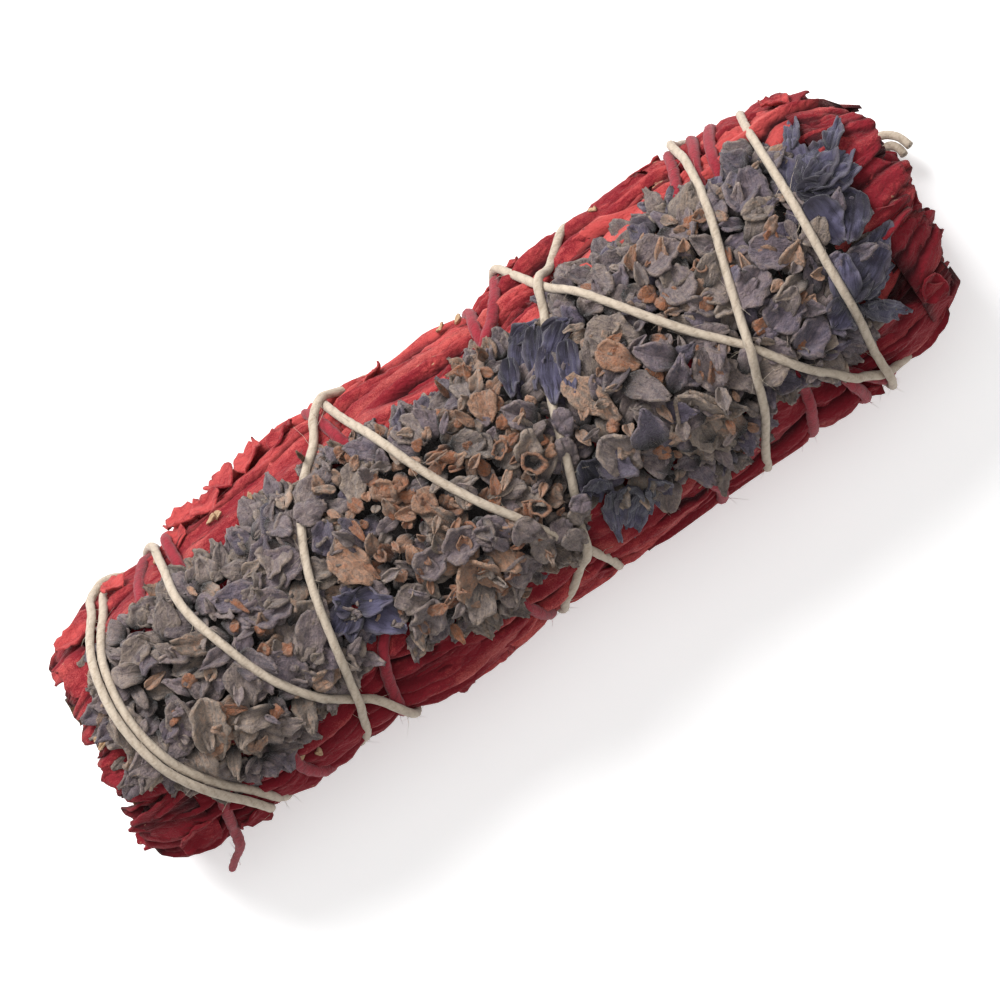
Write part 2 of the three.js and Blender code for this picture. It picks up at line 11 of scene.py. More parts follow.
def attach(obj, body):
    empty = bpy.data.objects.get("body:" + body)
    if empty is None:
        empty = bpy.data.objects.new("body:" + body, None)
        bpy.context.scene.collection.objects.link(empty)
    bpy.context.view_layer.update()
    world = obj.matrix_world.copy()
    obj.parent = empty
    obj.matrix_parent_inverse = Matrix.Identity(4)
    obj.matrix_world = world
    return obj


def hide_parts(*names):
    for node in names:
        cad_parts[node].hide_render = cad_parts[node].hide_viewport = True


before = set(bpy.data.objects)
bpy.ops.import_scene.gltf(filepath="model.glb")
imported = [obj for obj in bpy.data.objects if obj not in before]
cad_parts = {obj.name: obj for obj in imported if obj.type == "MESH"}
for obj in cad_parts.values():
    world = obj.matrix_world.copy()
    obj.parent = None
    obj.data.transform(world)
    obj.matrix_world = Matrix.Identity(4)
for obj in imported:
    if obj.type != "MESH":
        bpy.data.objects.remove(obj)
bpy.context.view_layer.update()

stick = {
    "shift": np.array([-0.145, 0.254, 0.0]),   # from the stick's own axis to the frame
    "axisHeight": 13.1,
    "halfHeight": 13.3,
    "unrolledRadius": 14.3,                    # turns degrees round the stick into millimetres
    # x, half width towards +Y, half width towards -Y, share of the half height
    "outline": [
        (-52.0, 8.6, 10.0, 0.70), (-50.0, 10.4, 11.6, 0.80), (-47.5, 11.7, 12.8, 0.89),
        (-43.0, 13.0, 13.3, 0.97), (-34.0, 13.7, 13.9, 1.0), (-25.0, 14.6, 13.5, 1.0),
        (-16.0, 15.4, 15.0, 1.0), (-4.0, 14.8, 14.0, 1.0), (5.0, 14.3, 14.5, 1.0),
        (18.0, 15.3, 14.7, 1.0), (28.0, 14.8, 15.1, 1.0), (36.0, 14.7, 15.5, 1.0),
        (42.0, 13.7, 14.4, 0.97), (47.0, 11.6, 12.8, 0.88), (50.0, 9.6, 10.4, 0.76),
        (52.0, 7.6, 8.4, 0.66),
    ],
}


# A running mean that keeps its ends, over a row of values or of points
def smoothed(values, reach):
    if values.ndim > 1:
        return np.stack([smoothed(column, reach) for column in values.T], axis=1)
    kernel = np.hanning(2 * reach + 3)[1:-1]
    kernel /= kernel.sum()
    return np.convolve(np.pad(values, reach, mode="edge"), kernel, mode="valid")


def smoothTable(rows, spacing, window):
    columns = np.array(rows).T
    places = np.arange(columns[0, 0], columns[0, -1] + spacing, spacing)
    reach = int(window / spacing / 2)
    filled = [np.interp(places, columns[0], column) for column in columns[1:]]
    return np.stack([places] + [smoothed(column, reach) for column in filled])


outlineTable = smoothTable(stick["outline"], spacing=0.25, window=5.0)


def outlineAt(x):
    return [np.interp(x, outlineTable[0], row) for row in outlineTable[1:]]


def unit(vectors):
    return vectors / np.linalg.norm(vectors, axis=-1, keepdims=True)


# Shares of a sheet: 0 to 1 along its rows, -1 to 1 over its columns
def sheetShares(rows, columns):
    return np.linspace(0, 1, rows)[:, None], np.linspace(-1, 1, columns)[None, :]


def newSeed(draw, limit=99999):
    return int(draw.integers(1, limit))


# A point on the leaf skin: x along the stick, degrees round it from the top, height over the skin
def skinPlace(x, angle, rise, depth=1.0):
    x, angle, rise = np.broadcast_arrays(np.asarray(x, float), angle, rise)
    plus, minus, tall = outlineAt(x)
    across, up = np.sin(np.radians(angle)), np.cos(np.radians(angle))
    side = np.where(across >= 0, plus, minus)
    return np.stack([
        x,
        across * (side * depth + rise),
        stick["axisHeight"] + up * (stick["halfHeight"] * tall * depth + rise),
    ], axis=-1)


# Seeded gradient noise, about -1 to 1, over points in millimetres
def noiseAt(points, size, seed):
    draw = np.random.default_rng(seed)
    table = draw.permutation(256)
    slopes = draw.normal(size=(256, 3))
    slopes /= np.linalg.norm(slopes, axis=1, keepdims=True)
    spot = np.asarray(points, float) / np.asarray(size, float)
    cell = np.floor(spot).astype(int)
    part = spot - cell
    ease = part * part * part * (part * (part * 6 - 15) + 10)
    total = np.zeros(spot.shape[:-1])
    for corner in np.ndindex(2, 2, 2):
        corner = np.array(corner)
        at = (cell + corner) & 255
        pick = table[(table[(table[at[..., 0]] + at[..., 1]) & 255] + at[..., 2]) & 255]
        weight = np.prod(np.where(corner == 1, ease, 1 - ease), axis=-1)
        total += weight * np.sum(slopes[pick] * (part - corner), axis=-1)
    return total * 1.7    # brings it to about -1 to 1


def smoothStep(low, high, value):
    share = np.clip((value - low) / (high - low), 0, 1)
    return share * share * (3 - 2 * share)


# A shader socket that can stand in sums
class Wire:
    def __init__(self, tree, socket=None):
        self.tree = tree
        self.socket = socket

    # any node: its type, its settings, the values or links of its sockets
    def make(self, kind, settings=None, inputs=None, output=0):
        node = self.tree.nodes.new(kind)
        for name, value in (settings or {}).items():
            if name == "stops":
                ramp = node.color_ramp.elements
                while len(ramp) < len(value):
                    ramp.new(1.0)
                for stop, (place, colour) in zip(ramp, value):
                    stop.position, stop.color = place, colour
            else:
                setattr(node, name, value)
        for name, value in (inputs or {}).items():
            if isinstance(value, Wire):
                self.tree.links.new(value.socket, node.inputs[name])
            else:
                node.inputs[name].default_value = value
        return Wire(self.tree, node.outputs[output])

    def sum(self, operation, first, second):
        return self.make("ShaderNodeMath", {"operation": operation}, {0: first, 1: second})

    def __add__(self, other):
        return self.sum("ADD", self, other)

    def __radd__(self, other):
        return self.sum("ADD", other, self)

    def __sub__(self, other):
        return self.sum("SUBTRACT", self, other)

    def __rsub__(self, other):
        return self.sum("SUBTRACT", other, self)

    def __mul__(self, other):
        return self.sum("MULTIPLY", self, other)

    def __rmul__(self, other):
        return self.sum("MULTIPLY", other, self)

    # a pattern that lies about 0.5, moved to lie about 0
    def swing(self, amount):
        return (self - 0.5) * amount

    def clipped(self, low, high):
        return self.make("ShaderNodeMapRange", {"interpolation_type": "SMOOTHSTEP"},
                         {"Value": self, "From Min": low, "From Max": high})

    def mixed(self, first, second):
        return self.make("ShaderNodeMix", {"data_type": "RGBA", "blend_type": "MIX"},
                         {0: self, 6: first, 7: second}, 2)

    # places on the piece, in units of the pattern's size in millimetres
    def places(self, size, stretch):
        return self.make("ShaderNodeVectorMath", {"operation": "MULTIPLY"}, {
            0: self.make("ShaderNodeTexCoord", output="Object"),
            1: tuple(1000.0 / (size * share) for share in stretch)})

    def noise(self, size, detail=3.0, rough=0.55, stretch=(1, 1, 1)):
        return self.make("ShaderNodeTexNoise", {"noise_dimensions": "3D"}, {
            "Vector": self.places(size, stretch), "Scale": 1.0, "Detail": detail, "Roughness": rough})

    # noise drawn out along a sheet, from its own places across and along it
    def fibres(self, size, stretch):
        place = self.make("ShaderNodeCombineXYZ", {}, {
            "X": self.attribute("across") * (1 / size), "Y": self.attribute("along") * (1 / size / stretch),
            "Z": self.attribute("tone") * 40})
        return self.make("ShaderNodeTexNoise", {"noise_dimensions": "3D"}, {
            "Vector": place, "Scale": 1.0, "Detail": 3.0, "Roughness": 0.6})

    # raised cells between sunken lines
    def cells(self, size, stretch):
        return self.make("ShaderNodeTexVoronoi", {"feature": "DISTANCE_TO_EDGE"}, {
            "Vector": self.places(size, stretch), "Scale": 1.0})

    def attribute(self, name):
        return self.make("ShaderNodeAttribute", {"attribute_name": name}, output="Fac")


def rgb(red, green, blue):
    def linear(value):
        value /= 255
        return value / 12.92 if value <= 0.04045 else ((value + 0.055) / 1.055) ** 2.4
    return (linear(red), linear(green), linear(blue), 1.0)


def newMaterial(name, settings=None):
    material = bpy.data.materials.new(name)
    material.use_nodes = True
    tree = material.node_tree
    shader = tree.nodes["Principled BSDF"]
    for socket, value in (settings or {}).items():
        shader.inputs[socket].default_value = value
    return material, Wire(tree), shader

def finishMaterial(wire, shader, colour, roughness, height, depth):
    bump = wire.make("ShaderNodeBump", {}, {"Height": height, "Distance": depth, "Strength": 1.0})
    for name, value in (("Base Color", colour), ("Roughness", roughness), ("Normal", bump)):
        wire.tree.links.new(value.socket, shader.inputs[name])


print("materials")

leafLook = {
    # painted highlight on the leaf ridges
    "ridgeHighlight": rgb(212, 114, 104),
    "bright": rgb(184, 74, 72),
    "deep": rgb(122, 26, 37),
    # painted shade in slits, creases and under the turned borders
    "crease": rgb(46, 8, 15),
    "undyed": rgb(186, 156, 124),
    "bump": 0.00024,    # metres
}
bractLook = {
    "blueMauve": rgb(84, 75, 90),
    "mauve": rgb(104, 90, 93),
    "grey": rgb(122, 108, 97),
    "tan": rgb(142, 106, 84),
    "chaff": rgb(118, 72, 46),
    "rim": rgb(138, 118, 98),
    # painted shade at the feet of the bracts, inside the cups and on the heart under them
    "hollowShade": rgb(26, 18, 16),
    "bump": 0.00034,
}
petalLook = {
    "light": rgb(84, 80, 104),
    "deep": rgb(34, 30, 46),
    "violet": rgb(74, 64, 80),
    "fade": rgb(108, 99, 102),
    "shade": rgb(24, 20, 30),
    "bump": 0.00026,
}
# the dark cord colours take the painted groove shade and the cotton's own uneven tone
cordLook = {
    "white": rgb(186, 172, 155),
    "whiteDark": rgb(134, 116, 98),
    "red": rgb(140, 37, 49),
    "redDark": rgb(82, 17, 26),
    "bump": 0.00010,
}
stemLook = {
    "bark": rgb(112, 82, 58),
    "barkDark": rgb(64, 42, 30),
    "wood": rgb(142, 110, 78),
    "pith": rgb(92, 66, 46),
    "stain": rgb(112, 38, 38),
    "bump": 0.00015,
}


def leafMaterial():
    material, wire, shader = newMaterial("dyedSageLeaf", {
        "Sheen Weight": 0.12, "Sheen Roughness": 0.5, "Sheen Tint": (1.0, 0.6, 0.55, 1.0),
        "Specular IOR Level": 0.15})
    # the fold attribute is painted light and shade: low where creases and borders lie in shade, high on lit
    # ridges
    fold, vein = wire.attribute("fold"), wire.attribute("vein")
    blotch = wire.noise(4.5, 3.0, 0.6, (2, 1, 1))
    streak = wire.noise(0.9, 3.0, 0.6, (5, 1, 1))
    felt = wire.noise(0.11, 2.0, 0.6)
    net = wire.cells(0.75, (1.5, 1, 1)).clipped(0.0, 0.3)
    # the tone attribute holds each leaf's own random tone, with painted flank light and shade and darker ends
    # added in
    light = (blotch.swing(2.0) + streak.swing(1.1) + felt.swing(1.3) + (net - 0.8) * 0.2
             + wire.attribute("tone"))
    colour = light.clipped(0.0, 1.0).mixed(leafLook["deep"], leafLook["bright"])
    colour = (vein * 0.3).mixed(colour, leafLook["deep"])
    # painted highlight: where the fold shading value is high, on ridges and swells, the colour is mixed towards
    # a light coral red
    colour = ((fold + felt.swing(0.4)).clipped(0.82, 1.1) * 0.45).mixed(colour, leafLook["ridgeHighlight"])
    # painted shade: where the fold value is low, the colour goes to the near-black crease red
    colour = fold.clipped(0.18, 0.74).mixed(leafLook["crease"], colour)
    torn = wire.noise(0.9, 2.0, 0.5, (2.2, 1, 1)).clipped(0.71, 0.74)
    speck = torn * wire.noise(8.0, 1.0, 0.5).clipped(0.5, 0.6)
    colour = (speck * 0.85).mixed(colour, leafLook["undyed"])
    colour = wire.attribute("pale").mixed(colour, leafLook["undyed"])
    wrinkle = wire.noise(0.42, 3.0, 0.6, (1.6, 1, 1))
    finishMaterial(wire, shader, colour, wire.noise(2.0) * 0.15 + 0.8,
                   wrinkle * 0.8 + felt * 0.45 + net * 0.3 - vein * 0.5, leafLook["bump"])
    return material


def bractMaterial():
    material, wire, shader = newMaterial("woollyBract", {
        "Sheen Weight": 0.2, "Sheen Roughness": 0.6, "Specular IOR Level": 0.12})
    mottle = wire.noise(0.7, 4.0, 0.65)
    wool = wire.noise(0.12, 2.0, 0.65)
    fibre = wire.fibres(0.3, 5.0)
    grain = wire.noise(0.34, 3.0, 0.7)
    colour = wire.make("ShaderNodeValToRGB", {"stops": [
        (0.10, bractLook["blueMauve"]), (0.34, bractLook["mauve"]), (0.62, bractLook["grey"]),
        (0.82, bractLook["tan"]), (0.97, bractLook["chaff"])]},
        {"Fac": wire.attribute("hue") + mottle.swing(0.4) + fibre.swing(0.35)})
    border = (wire.attribute("rim") + mottle.swing(0.9)).clipped(0.75, 1.2)
    colour = (border * 0.3).mixed(colour, bractLook["rim"])
    # painted shade: towards the foot of each bract, where it goes under its neighbours, the colour goes to
    # near-black
    inside = (wire.attribute("root") + mottle.swing(0.4)).clipped(0.35, 0.95)
    colour = inside.mixed(colour, bractLook["hollowShade"])
    shade = (wire.attribute("tone").swing(0.8) + mottle.swing(1.4) + wool.swing(1.2) + fibre.swing(1.1)
             + grain.swing(1.2) + 1.12)
    colour = wire.make("ShaderNodeHueSaturation", {}, {"Value": shade, "Color": colour})
    finishMaterial(wire, shader, colour, wire.noise(1.0) * 0.08 + 0.88,
                   mottle * 0.8 + wool * 0.5 + fibre * 1.1 + grain * 1.1, bractLook["bump"])
    return material


def petalMaterial():
    material, wire, shader = newMaterial("bluePetal", {"Sheen Weight": 0.2, "Specular IOR Level": 0.3})
    vein = wire.attribute("vein")
    mottle = wire.noise(1.4, 4.0, 0.6)
    grain = wire.noise(0.14, 2.0, 0.6)
    fibre = wire.fibres(0.32, 9.0)
    light = mottle.swing(1.1) + wire.attribute("tone") + grain.swing(0.5) + fibre.swing(1.5)
    colour = light.clipped(0.1, 0.95).mixed(petalLook["deep"], petalLook["light"])
    colour = (wire.noise(2.6, 2.0).clipped(0.5, 0.68) * 0.6).mixed(colour, petalLook["violet"])
    colour = (wire.attribute("rim").clipped(0.6, 1.0) * 0.35).mixed(colour, petalLook["fade"])
    colour = (vein * 0.5).mixed(colour, petalLook["deep"])
    inside = (wire.attribute("root") + mottle.swing(0.5)).clipped(0.1, 0.9)
    colour = (inside * 0.8).mixed(colour, petalLook["shade"])
    finishMaterial(wire, shader, colour, wire.noise(1.2) * 0.1 + 0.78,
                   mottle * 0.5 + grain * 0.3 - vein * 0.6 + fibre * 1.4, petalLook["bump"])
    return material


def cordMaterial(name, light, dark):
    material, wire, shader = newMaterial(name, {
        "Sheen Weight": 0.15, "Sheen Roughness": 0.5, "Specular IOR Level": 0.15})
    lay = wire.attribute("lay")
    fibre = wire.noise(0.22, 3.0, 0.6, (2.4, 1, 1))
    # painted shade: the lay value is high on the crests of the plies and low in the grooves between them, so
    # the grooves are darker; the fibre and noise terms are the cotton's own uneven tone
    shade = lay * 0.25 + fibre.swing(1.0) + wire.noise(4.0, 2.0).swing(0.5) + 0.5
    colour = shade.clipped(0.0, 0.9).mixed(dark, light)
    finishMaterial(wire, shader, colour, fibre * 0.15 + 0.78, fibre + lay * 0.35, cordLook["bump"])
    return material


def stemMaterial():
    material, wire, shader = newMaterial("woodyStem", {"Specular IOR Level": 0.25})
    grain = wire.noise(0.5, 4.0, 0.6, (9, 1, 1))
    spot = wire.noise(0.8, 3.0)
    bark = (grain + spot.swing(0.5)).clipped(0.3, 0.7).mixed(stemLook["barkDark"], stemLook["bark"])
    share = wire.attribute("share")
    face = (share + spot.swing(0.3)).clipped(0.1, 0.45).mixed(stemLook["pith"], stemLook["wood"])
    face = (share + spot.swing(0.2)).clipped(0.78, 0.95).mixed(face, stemLook["barkDark"])
    face = (wire.noise(1.6, 3.0).clipped(0.4, 0.6) * 0.75).mixed(face, stemLook["stain"])
    colour = wire.attribute("cut").clipped(0.4, 0.6).mixed(bark, face)
    finishMaterial(wire, shader, colour, spot * 0.2 + 0.7, grain + spot * 0.5, stemLook["bump"])
    return material


leafPaint = leafMaterial()
bractPaint = bractMaterial()
petalPaint = petalMaterial()
whitePaint = cordMaterial("undyedCotton", cordLook["white"], cordLook["whiteDark"])
redPaint = cordMaterial("crimsonCotton", cordLook["red"], cordLook["redDark"])
stemPaint = stemMaterial()


# Gathers grids of points with their values, and becomes one mesh
class Heap:
    def __init__(self):
        self.points, self.quads, self.values = [], [], []
        self.count = 0

    def add(self, points, quads, **values):
        self.points.append(points.reshape(-1, 3))
        self.quads.append(quads + self.count)
        self.values.append({name: np.broadcast_to(value, points.shape[:-1]).reshape(-1)
                            for name, value in values.items()})
        self.count += len(self.points[-1])

    def arrays(self):
        return np.concatenate(self.points), np.concatenate(self.quads)

    def toPiece(self, name, paint, nodes, slot):
        points, quads = self.arrays()
        mesh = bpy.data.meshes.new(name)
        mesh.vertices.add(len(points))
        mesh.vertices.foreach_set("co", ((points + stick["shift"]) * 0.001).ravel())
        mesh.loops.add(quads.size)
        mesh.loops.foreach_set("vertex_index", quads.ravel())
        mesh.polygons.add(len(quads))
        mesh.polygons.foreach_set("loop_start", np.arange(len(quads)) * 4)
        mesh.polygons.foreach_set("loop_total", np.full(len(quads), 4))
        mesh.polygons.foreach_set("use_smooth", np.ones(len(quads), bool))
        mesh.update(calc_edges=True)
        for key in sorted(set().union(*self.values)):
            given = [values.get(key, np.zeros(len(part))) for values, part in zip(self.values, self.points)]
            layer = mesh.attributes.new(key, "FLOAT", "POINT")
            layer.data.foreach_set("value", np.concatenate(given).astype(np.float32))
        mesh.validate()
        mesh.materials.append(paint)
        piece = bpy.data.objects.new(name, mesh)
        bpy.context.scene.collection.objects.link(piece)
        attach(piece, "root")
        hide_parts(*nodes)
        print(name, len(quads) * 2, "triangles")


def gridQuads(rows, columns, wrapped=False):
    i, j = np.meshgrid(np.arange(rows - 1), np.arange(columns if wrapped else columns - 1), indexing="ij")
    k = (j + 1) % columns
    quads = np.stack([i * columns + j, (i + 1) * columns + j, (i + 1) * columns + k, i * columns + k], axis=-1)
    return quads.reshape(-1, 4)


def gridNormals(points):
    along = np.gradient(points, axis=0)
    across = np.gradient(points, axis=1)
    normal = np.cross(along, across)
    return normal / (np.linalg.norm(normal, axis=-1, keepdims=True) + 1e-9)


# A thin closed sheet: the grid moved to both sides by half its thickness, and a rim between
def addSheet(heap, points, thick, **values):
    rows, columns = points.shape[:2]
    push = gridNormals(points) * thick / 2
    quads = gridQuads(rows, columns)
    order = np.arange(rows * columns).reshape(rows, columns)
    edge = np.concatenate([order[:, 0], order[-1, 1:], order[-2::-1, -1], order[0, -2:0:-1]])
    after = np.roll(edge, -1)
    rim = np.stack([edge, edge + order.size, after + order.size, after], axis=-1)
    heap.add(np.stack([points + push, points - push]),
             np.concatenate([quads, quads[:, ::-1] + order.size, rim]), **values)


# Routes of the cords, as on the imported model: x and degrees round the stick
redCordMade = {
    "radius": 0.6, "sense": -1, "lobes": 3, "lay": 5.2, "lobeDepth": 0.1, "bite": 0.35,
    "route": [
        [(-24, 165), (-27.5, 140), (-31, 100), (-31.9, 66), (-32.2, 40), (-32.6, 5), (-33.6, -30),
         (-34.2, -60), (-31, -92), (-25.5, -122), (-21, -150)],
        [(-18, 150), (-14.2, 105), (-12.8, 75), (-11.6, 42), (-9.8, 5), (-8, -35), (-6, -75),
         (-4.5, -110), (-1, -160)],
        [(3, 150), (5.2, 105), (5.8, 76), (5.4, 42), (10.8, 16), (17, -5), (24, -26), (30.3, -46),
         (34.8, -75), (37.2, -110), (38.7, -160)],
        [(38.6, 150), (37, 110), (35.8, 82), (33.7, 42), (32.4, 5), (31.6, -25), (31.8, -50),
         (32.8, -80), (32.2, -120), (31.8, -165)],
        [(32.8, 140), (33.8, 104), (33.7, 76), (31.5, 42), (29.8, 5), (28.6, -25), (28, -52),
         (26.8, -82), (26, -120), (27.4, -165)],
        [(30, 130), (31.2, 90), (29.2, 47), (25, 20), (20, -12), (15.2, -52), (15.7, -80), (14, -120),
         (12, -165)],
        [(10.7, 140), (9.9, 88), (7.8, 60), (3, 34), (-6, 10), (-14, -12), (-20.4, -30), (-22.6, -58),
         (-23.2, -95), (-26.8, -150)],
        [(-29.6, 150), (-34, 100), (-35.9, 72), (-37.6, 40), (-39.6, 5), (-41.4, -30), (-42.8, -58),
         (-43.5, -80)],
    ],
    "start": [],
    "end": [(-44.2, -15.1, 11.8), (-45.5, -15.9, 8.6), (-46.6, -16.6, 5.4)],
    "endShare": 0.68,       # thickness at its end
}
whiteCordMade = {
    "radius": 0.46, "sense": 1, "lobes": 3, "lay": 5.5, "lobeDepth": 0.05, "bite": 0.3,
    "route": [
        [(43, -176), (41.5, -130), (38.8, -90), (34.6, -65), (30, -38), (26, -16), (22, -1), (18, 17),
         (14, 40), (11.5, 76), (9.4, 105), (7, 150)],
        [(4.6, -160), (3.2, -110), (2.6, -70), (0.4, -37), (-2, -19), (-4.5, -5), (-7.2, 13),
         (-9.2, 34), (-11, 68), (-11.6, 105), (-14.4, 150)],
        [(-17.4, -150), (-21.2, -105), (-22.8, -62), (-25.8, -44), (-28.9, -26), (-31.3, -11),
         (-32.8, 5), (-34, 24), (-33.5, 55), (-33.4, 88), (-35, 110), (-36.8, 135)],
        [(-37, -160), (-37, -110), (-38.2, -68), (-41.8, -34), (-44.05, -14), (-44.75, 7), (-43.5, 33),
         (-41.1, 66), (-39.8, 105), (-40.2, 150)],
        [(-40.3, -160), (-40, -110), (-39.4, -68), (-42.8, -34), (-45, -14), (-45.7, 7), (-44.5, 33),
         (-42.2, 66), (-41.2, 92), (-37.2, 110), (-34.4, 128), (-33.2, 150)],
        [(-32.4, -175), (-29, -115), (-26.8, -66), (-25.2, -33), (-24, -13), (-22.4, 6), (-19.6, 25),
         (-14.8, 52), (-11, 76), (-7.6, 90), (-5.2, 115), (-5, 150)],
        [(-4.6, -170), (-4.6, -120), (-3, -78), (-0.4, -60), (1.6, -41), (4, -19), (6.2, 0),
         (8.6, 19), (11.8, 40), (15, 62), (19, 86), (21.4, 115), (21.6, 150)],
        [(21.2, -165), (20.6, -120), (21, -85), (22.6, -52), (24.5, -26), (26.5, -8), (28.4, 8),
         (30.6, 27), (31.9, 56), (32.2, 92), (34.6, 115), (35.6, 140)],
        [(35.6, -165), (35.6, -115), (35.7, -70), (35.9, -45), (36.6, -12), (37.7, 16), (38.6, 52),
         (39.6, 95), (41, 140), (42.6, 172)],
    ],
    "start": [(50.9, 1.1, 4.2), (50.9, 2.3, 3.6), (49.9, 3.1, 2.4), (48.0, 2.4, 1.3), (46.0, 0.8, 0.8)],
    "end": [(44.4, 2.7, 0.9), (47.2, 4.0, 0.9), (49.9, 4.4, 2.2), (51.5, 3.2, 3.8), (51.9, 1.5, 4.6)],
    "endShare": 1.0,
}
cordsMade = {
    "spacing": 0.45,        # along the route
    "steps": 24,            # of the fine line between two given points
    "tautRounds": 160,
    "crossReach": 2.2,      # how far off a strand starts to lift the one over it
    "crossPress": 0.92,     # how close two strands lie where they cross
    "ownReach": 14,         # nearer than this along the cord, it doesn't cross itself
    "rayFrom": 14.0,        # height over the skin from which what lies under a cord is looked for
    "overHeads": 0.35,
    "sides": 10,
    "fibres": 500,
    "fibreLength": (0.8, 2.2),
    "fibreRadius": 0.028,
}


# Points at even spacing on a smooth line through the given ones
def smoothLine(points, spacing):
    points = np.array(points, float)
    steps = np.linalg.norm(np.diff(points, axis=0), axis=1) ** 0.5
    knots = np.concatenate([[0], np.cumsum(steps)])
    slopes = np.gradient(points, knots, axis=0)
    t = np.linspace(0, 1, cordsMade["steps"], endpoint=False)[:, None]
    fine = []
    for i, span in enumerate(np.diff(knots)):
        fine.append((2 * t**3 - 3 * t**2 + 1) * points[i] + (t**3 - 2 * t**2 + t) * span * slopes[i]
                    + (3 * t**2 - 2 * t**3) * points[i + 1] + (t**3 - t**2) * span * slopes[i + 1])
    fine = np.concatenate(fine + [points[-1:]])
    length = np.concatenate([[0], np.cumsum(np.linalg.norm(np.diff(fine, axis=0), axis=1))])
    places = np.linspace(0, length[-1], max(2, int(length[-1] / spacing)))
    return np.stack([np.interp(places, length, fine[:, k]) for k in range(fine.shape[1])], axis=1)


def layRoute(cord, spacing):
    guide = []
    for index, turn in enumerate(cord["route"]):
        for x, angle in turn:
            guide.append((x, math.radians(angle + cord["sense"] * 360 * index) * stick["unrolledRadius"]))
    line = smoothLine(guide, spacing)
    angle = np.degrees(line[:, 1] / stick["unrolledRadius"])
    return line[:, 0], (angle + 180) % 360 - 180


def unrolled(x, angle):
    return np.stack([x, np.radians(angle) * stick["unrolledRadius"], np.zeros_like(x)], axis=-1)


def treeOf(places):
    tree = KDTree(len(places))
    for i, place in enumerate(places):
        tree.insert(place, i)
    tree.balance()
    return tree


# How near a place on the skin is to a laid cord, in millimetres
class Nearness:
    def __init__(self, route):
        around = 2 * math.pi * stick["unrolledRadius"]
        places = unrolled(*route)
        self.tree = treeOf(np.concatenate([places, places + [0, around, 0], places - [0, around, 0]]))

    def at(self, x, angle):
        places = unrolled(x, angle).reshape(-1, 3)
        return np.array([self.tree.find(place)[2] for place in places]).reshape(x.shape)


redRoute = layRoute(redCordMade, cordsMade["spacing"])
whiteRoute = layRoute(whiteCordMade, cordsMade["spacing"])
nearRed = Nearness(redRoute)
nearWhite = Nearness(whiteRoute)
print("cord routes", len(redRoute[0]), len(whiteRoute[0]))

# The photograph's places, in a frame of 1000 x 1000 looked at from straight above
view = {
    "middle": (500.0, 500.0),
    "aim": (-2.73, -2.63, 13.0),    # what the middle of the frame looks at
    "scale": 0.1,                   # millimetres for one step of the frame
    "distance": 750.0,
    "turn": (0.8056, 0.5924),
    "headHeight": 27.0,             # height over the floor at which most of the heads is seen
}


def fromPhoto(px, py, height=26.0):
    near = (view["distance"] - (height - view["aim"][2])) / view["distance"]
    right = (np.asarray(px, float) - view["middle"][0]) * view["scale"] * near
    up = (view["middle"][1] - np.asarray(py, float)) * view["scale"] * near
    c, s = view["turn"]
    return view["aim"][0] + right * c + up * s, view["aim"][1] - right * s + up * c


# Flower heads: the outlines that they cover, the way that their tips point, and their height
heads = [
    {"node": "flower_head_1", "tip": (-0.8, -0.5), "height": 2.9, "seed": 11,
     "outline": [(97, 665), (112, 632), (150, 608), (180, 575), (235, 550), (258, 505), (285, 488),
                 (305, 500), (325, 545), (335, 600), (365, 650), (340, 690), (312, 715), (285, 745),
                 (255, 778), (215, 783), (175, 772), (135, 780), (135, 755), (108, 722)]},
    {"node": "flower_head_2", "tip": (0.6, 0.2), "height": 3.3, "seed": 23,
     "outline": [(300, 470), (330, 450), (392, 420), (438, 398), (458, 368), (480, 352), (510, 345),
                 (545, 372), (560, 410), (574, 450), (578, 500), (565, 548), (540, 578), (515, 605),
                 (480, 625), (430, 645), (400, 640), (372, 600), (340, 575), (318, 535), (305, 500)]},
    {"node": "flower_head_3", "tip": (0.8, 0.3), "height": 3.5, "seed": 37,
     "outline": [(548, 375), (556, 335), (566, 285), (600, 260), (640, 235), (655, 205), (700, 195),
                 (722, 185), (742, 158), (768, 158), (790, 185), (845, 188), (862, 205), (858, 240),
                 (872, 262), (882, 290), (866, 318), (850, 345), (835, 368), (795, 378), (772, 402),
                 (755, 425), (738, 462), (700, 470), (655, 492), (610, 500), (585, 505), (577, 470),
                 (565, 420)]},
]
moundMade = {
    "edge": 0.7, "reach": 4.2,      # height at the border, and how far in a head gets to its full height
    "lumps": 0.22, "lumpSize": 3.6,
    "overSkin": 1.6,                # middling height over the skin, where a place is looked up
    "cell": 0.3, "x": (-54.0, 54.0), "y": (-17.0, 17.0),    # the grid that holds the heights
}


# How far x, y is from the lines between two places
def lineDistance(x, y, ax, ay, bx, by):
    share = np.clip(((x - ax) * (bx - ax) + (y - ay) * (by - ay)) / ((bx - ax) ** 2 + (by - ay) ** 2), 0, 1)
    return np.hypot(x - ax - share * (bx - ax), y - ay - share * (by - ay))


def cornersOf(head):
    return np.stack(fromPhoto(*np.array(head["outline"], float).T), axis=1)


# Distance to the outline of a head, above 0 inside it
def insideDistance(head, x, y):
    corners = cornersOf(head)
    inside = np.zeros(x.shape, bool)
    nearest = np.full(x.shape, 1e9)
    for (ax, ay), (bx, by) in zip(corners, np.roll(corners, -1, axis=0)):
        nearest = np.minimum(nearest, lineDistance(x, y, ax, ay, bx, by))
        if ay != by:
            inside ^= ((ay > y) != (by > y)) & (x < (bx - ax) * (y - ay) / (by - ay) + ax)
    return np.where(inside, nearest, -nearest)


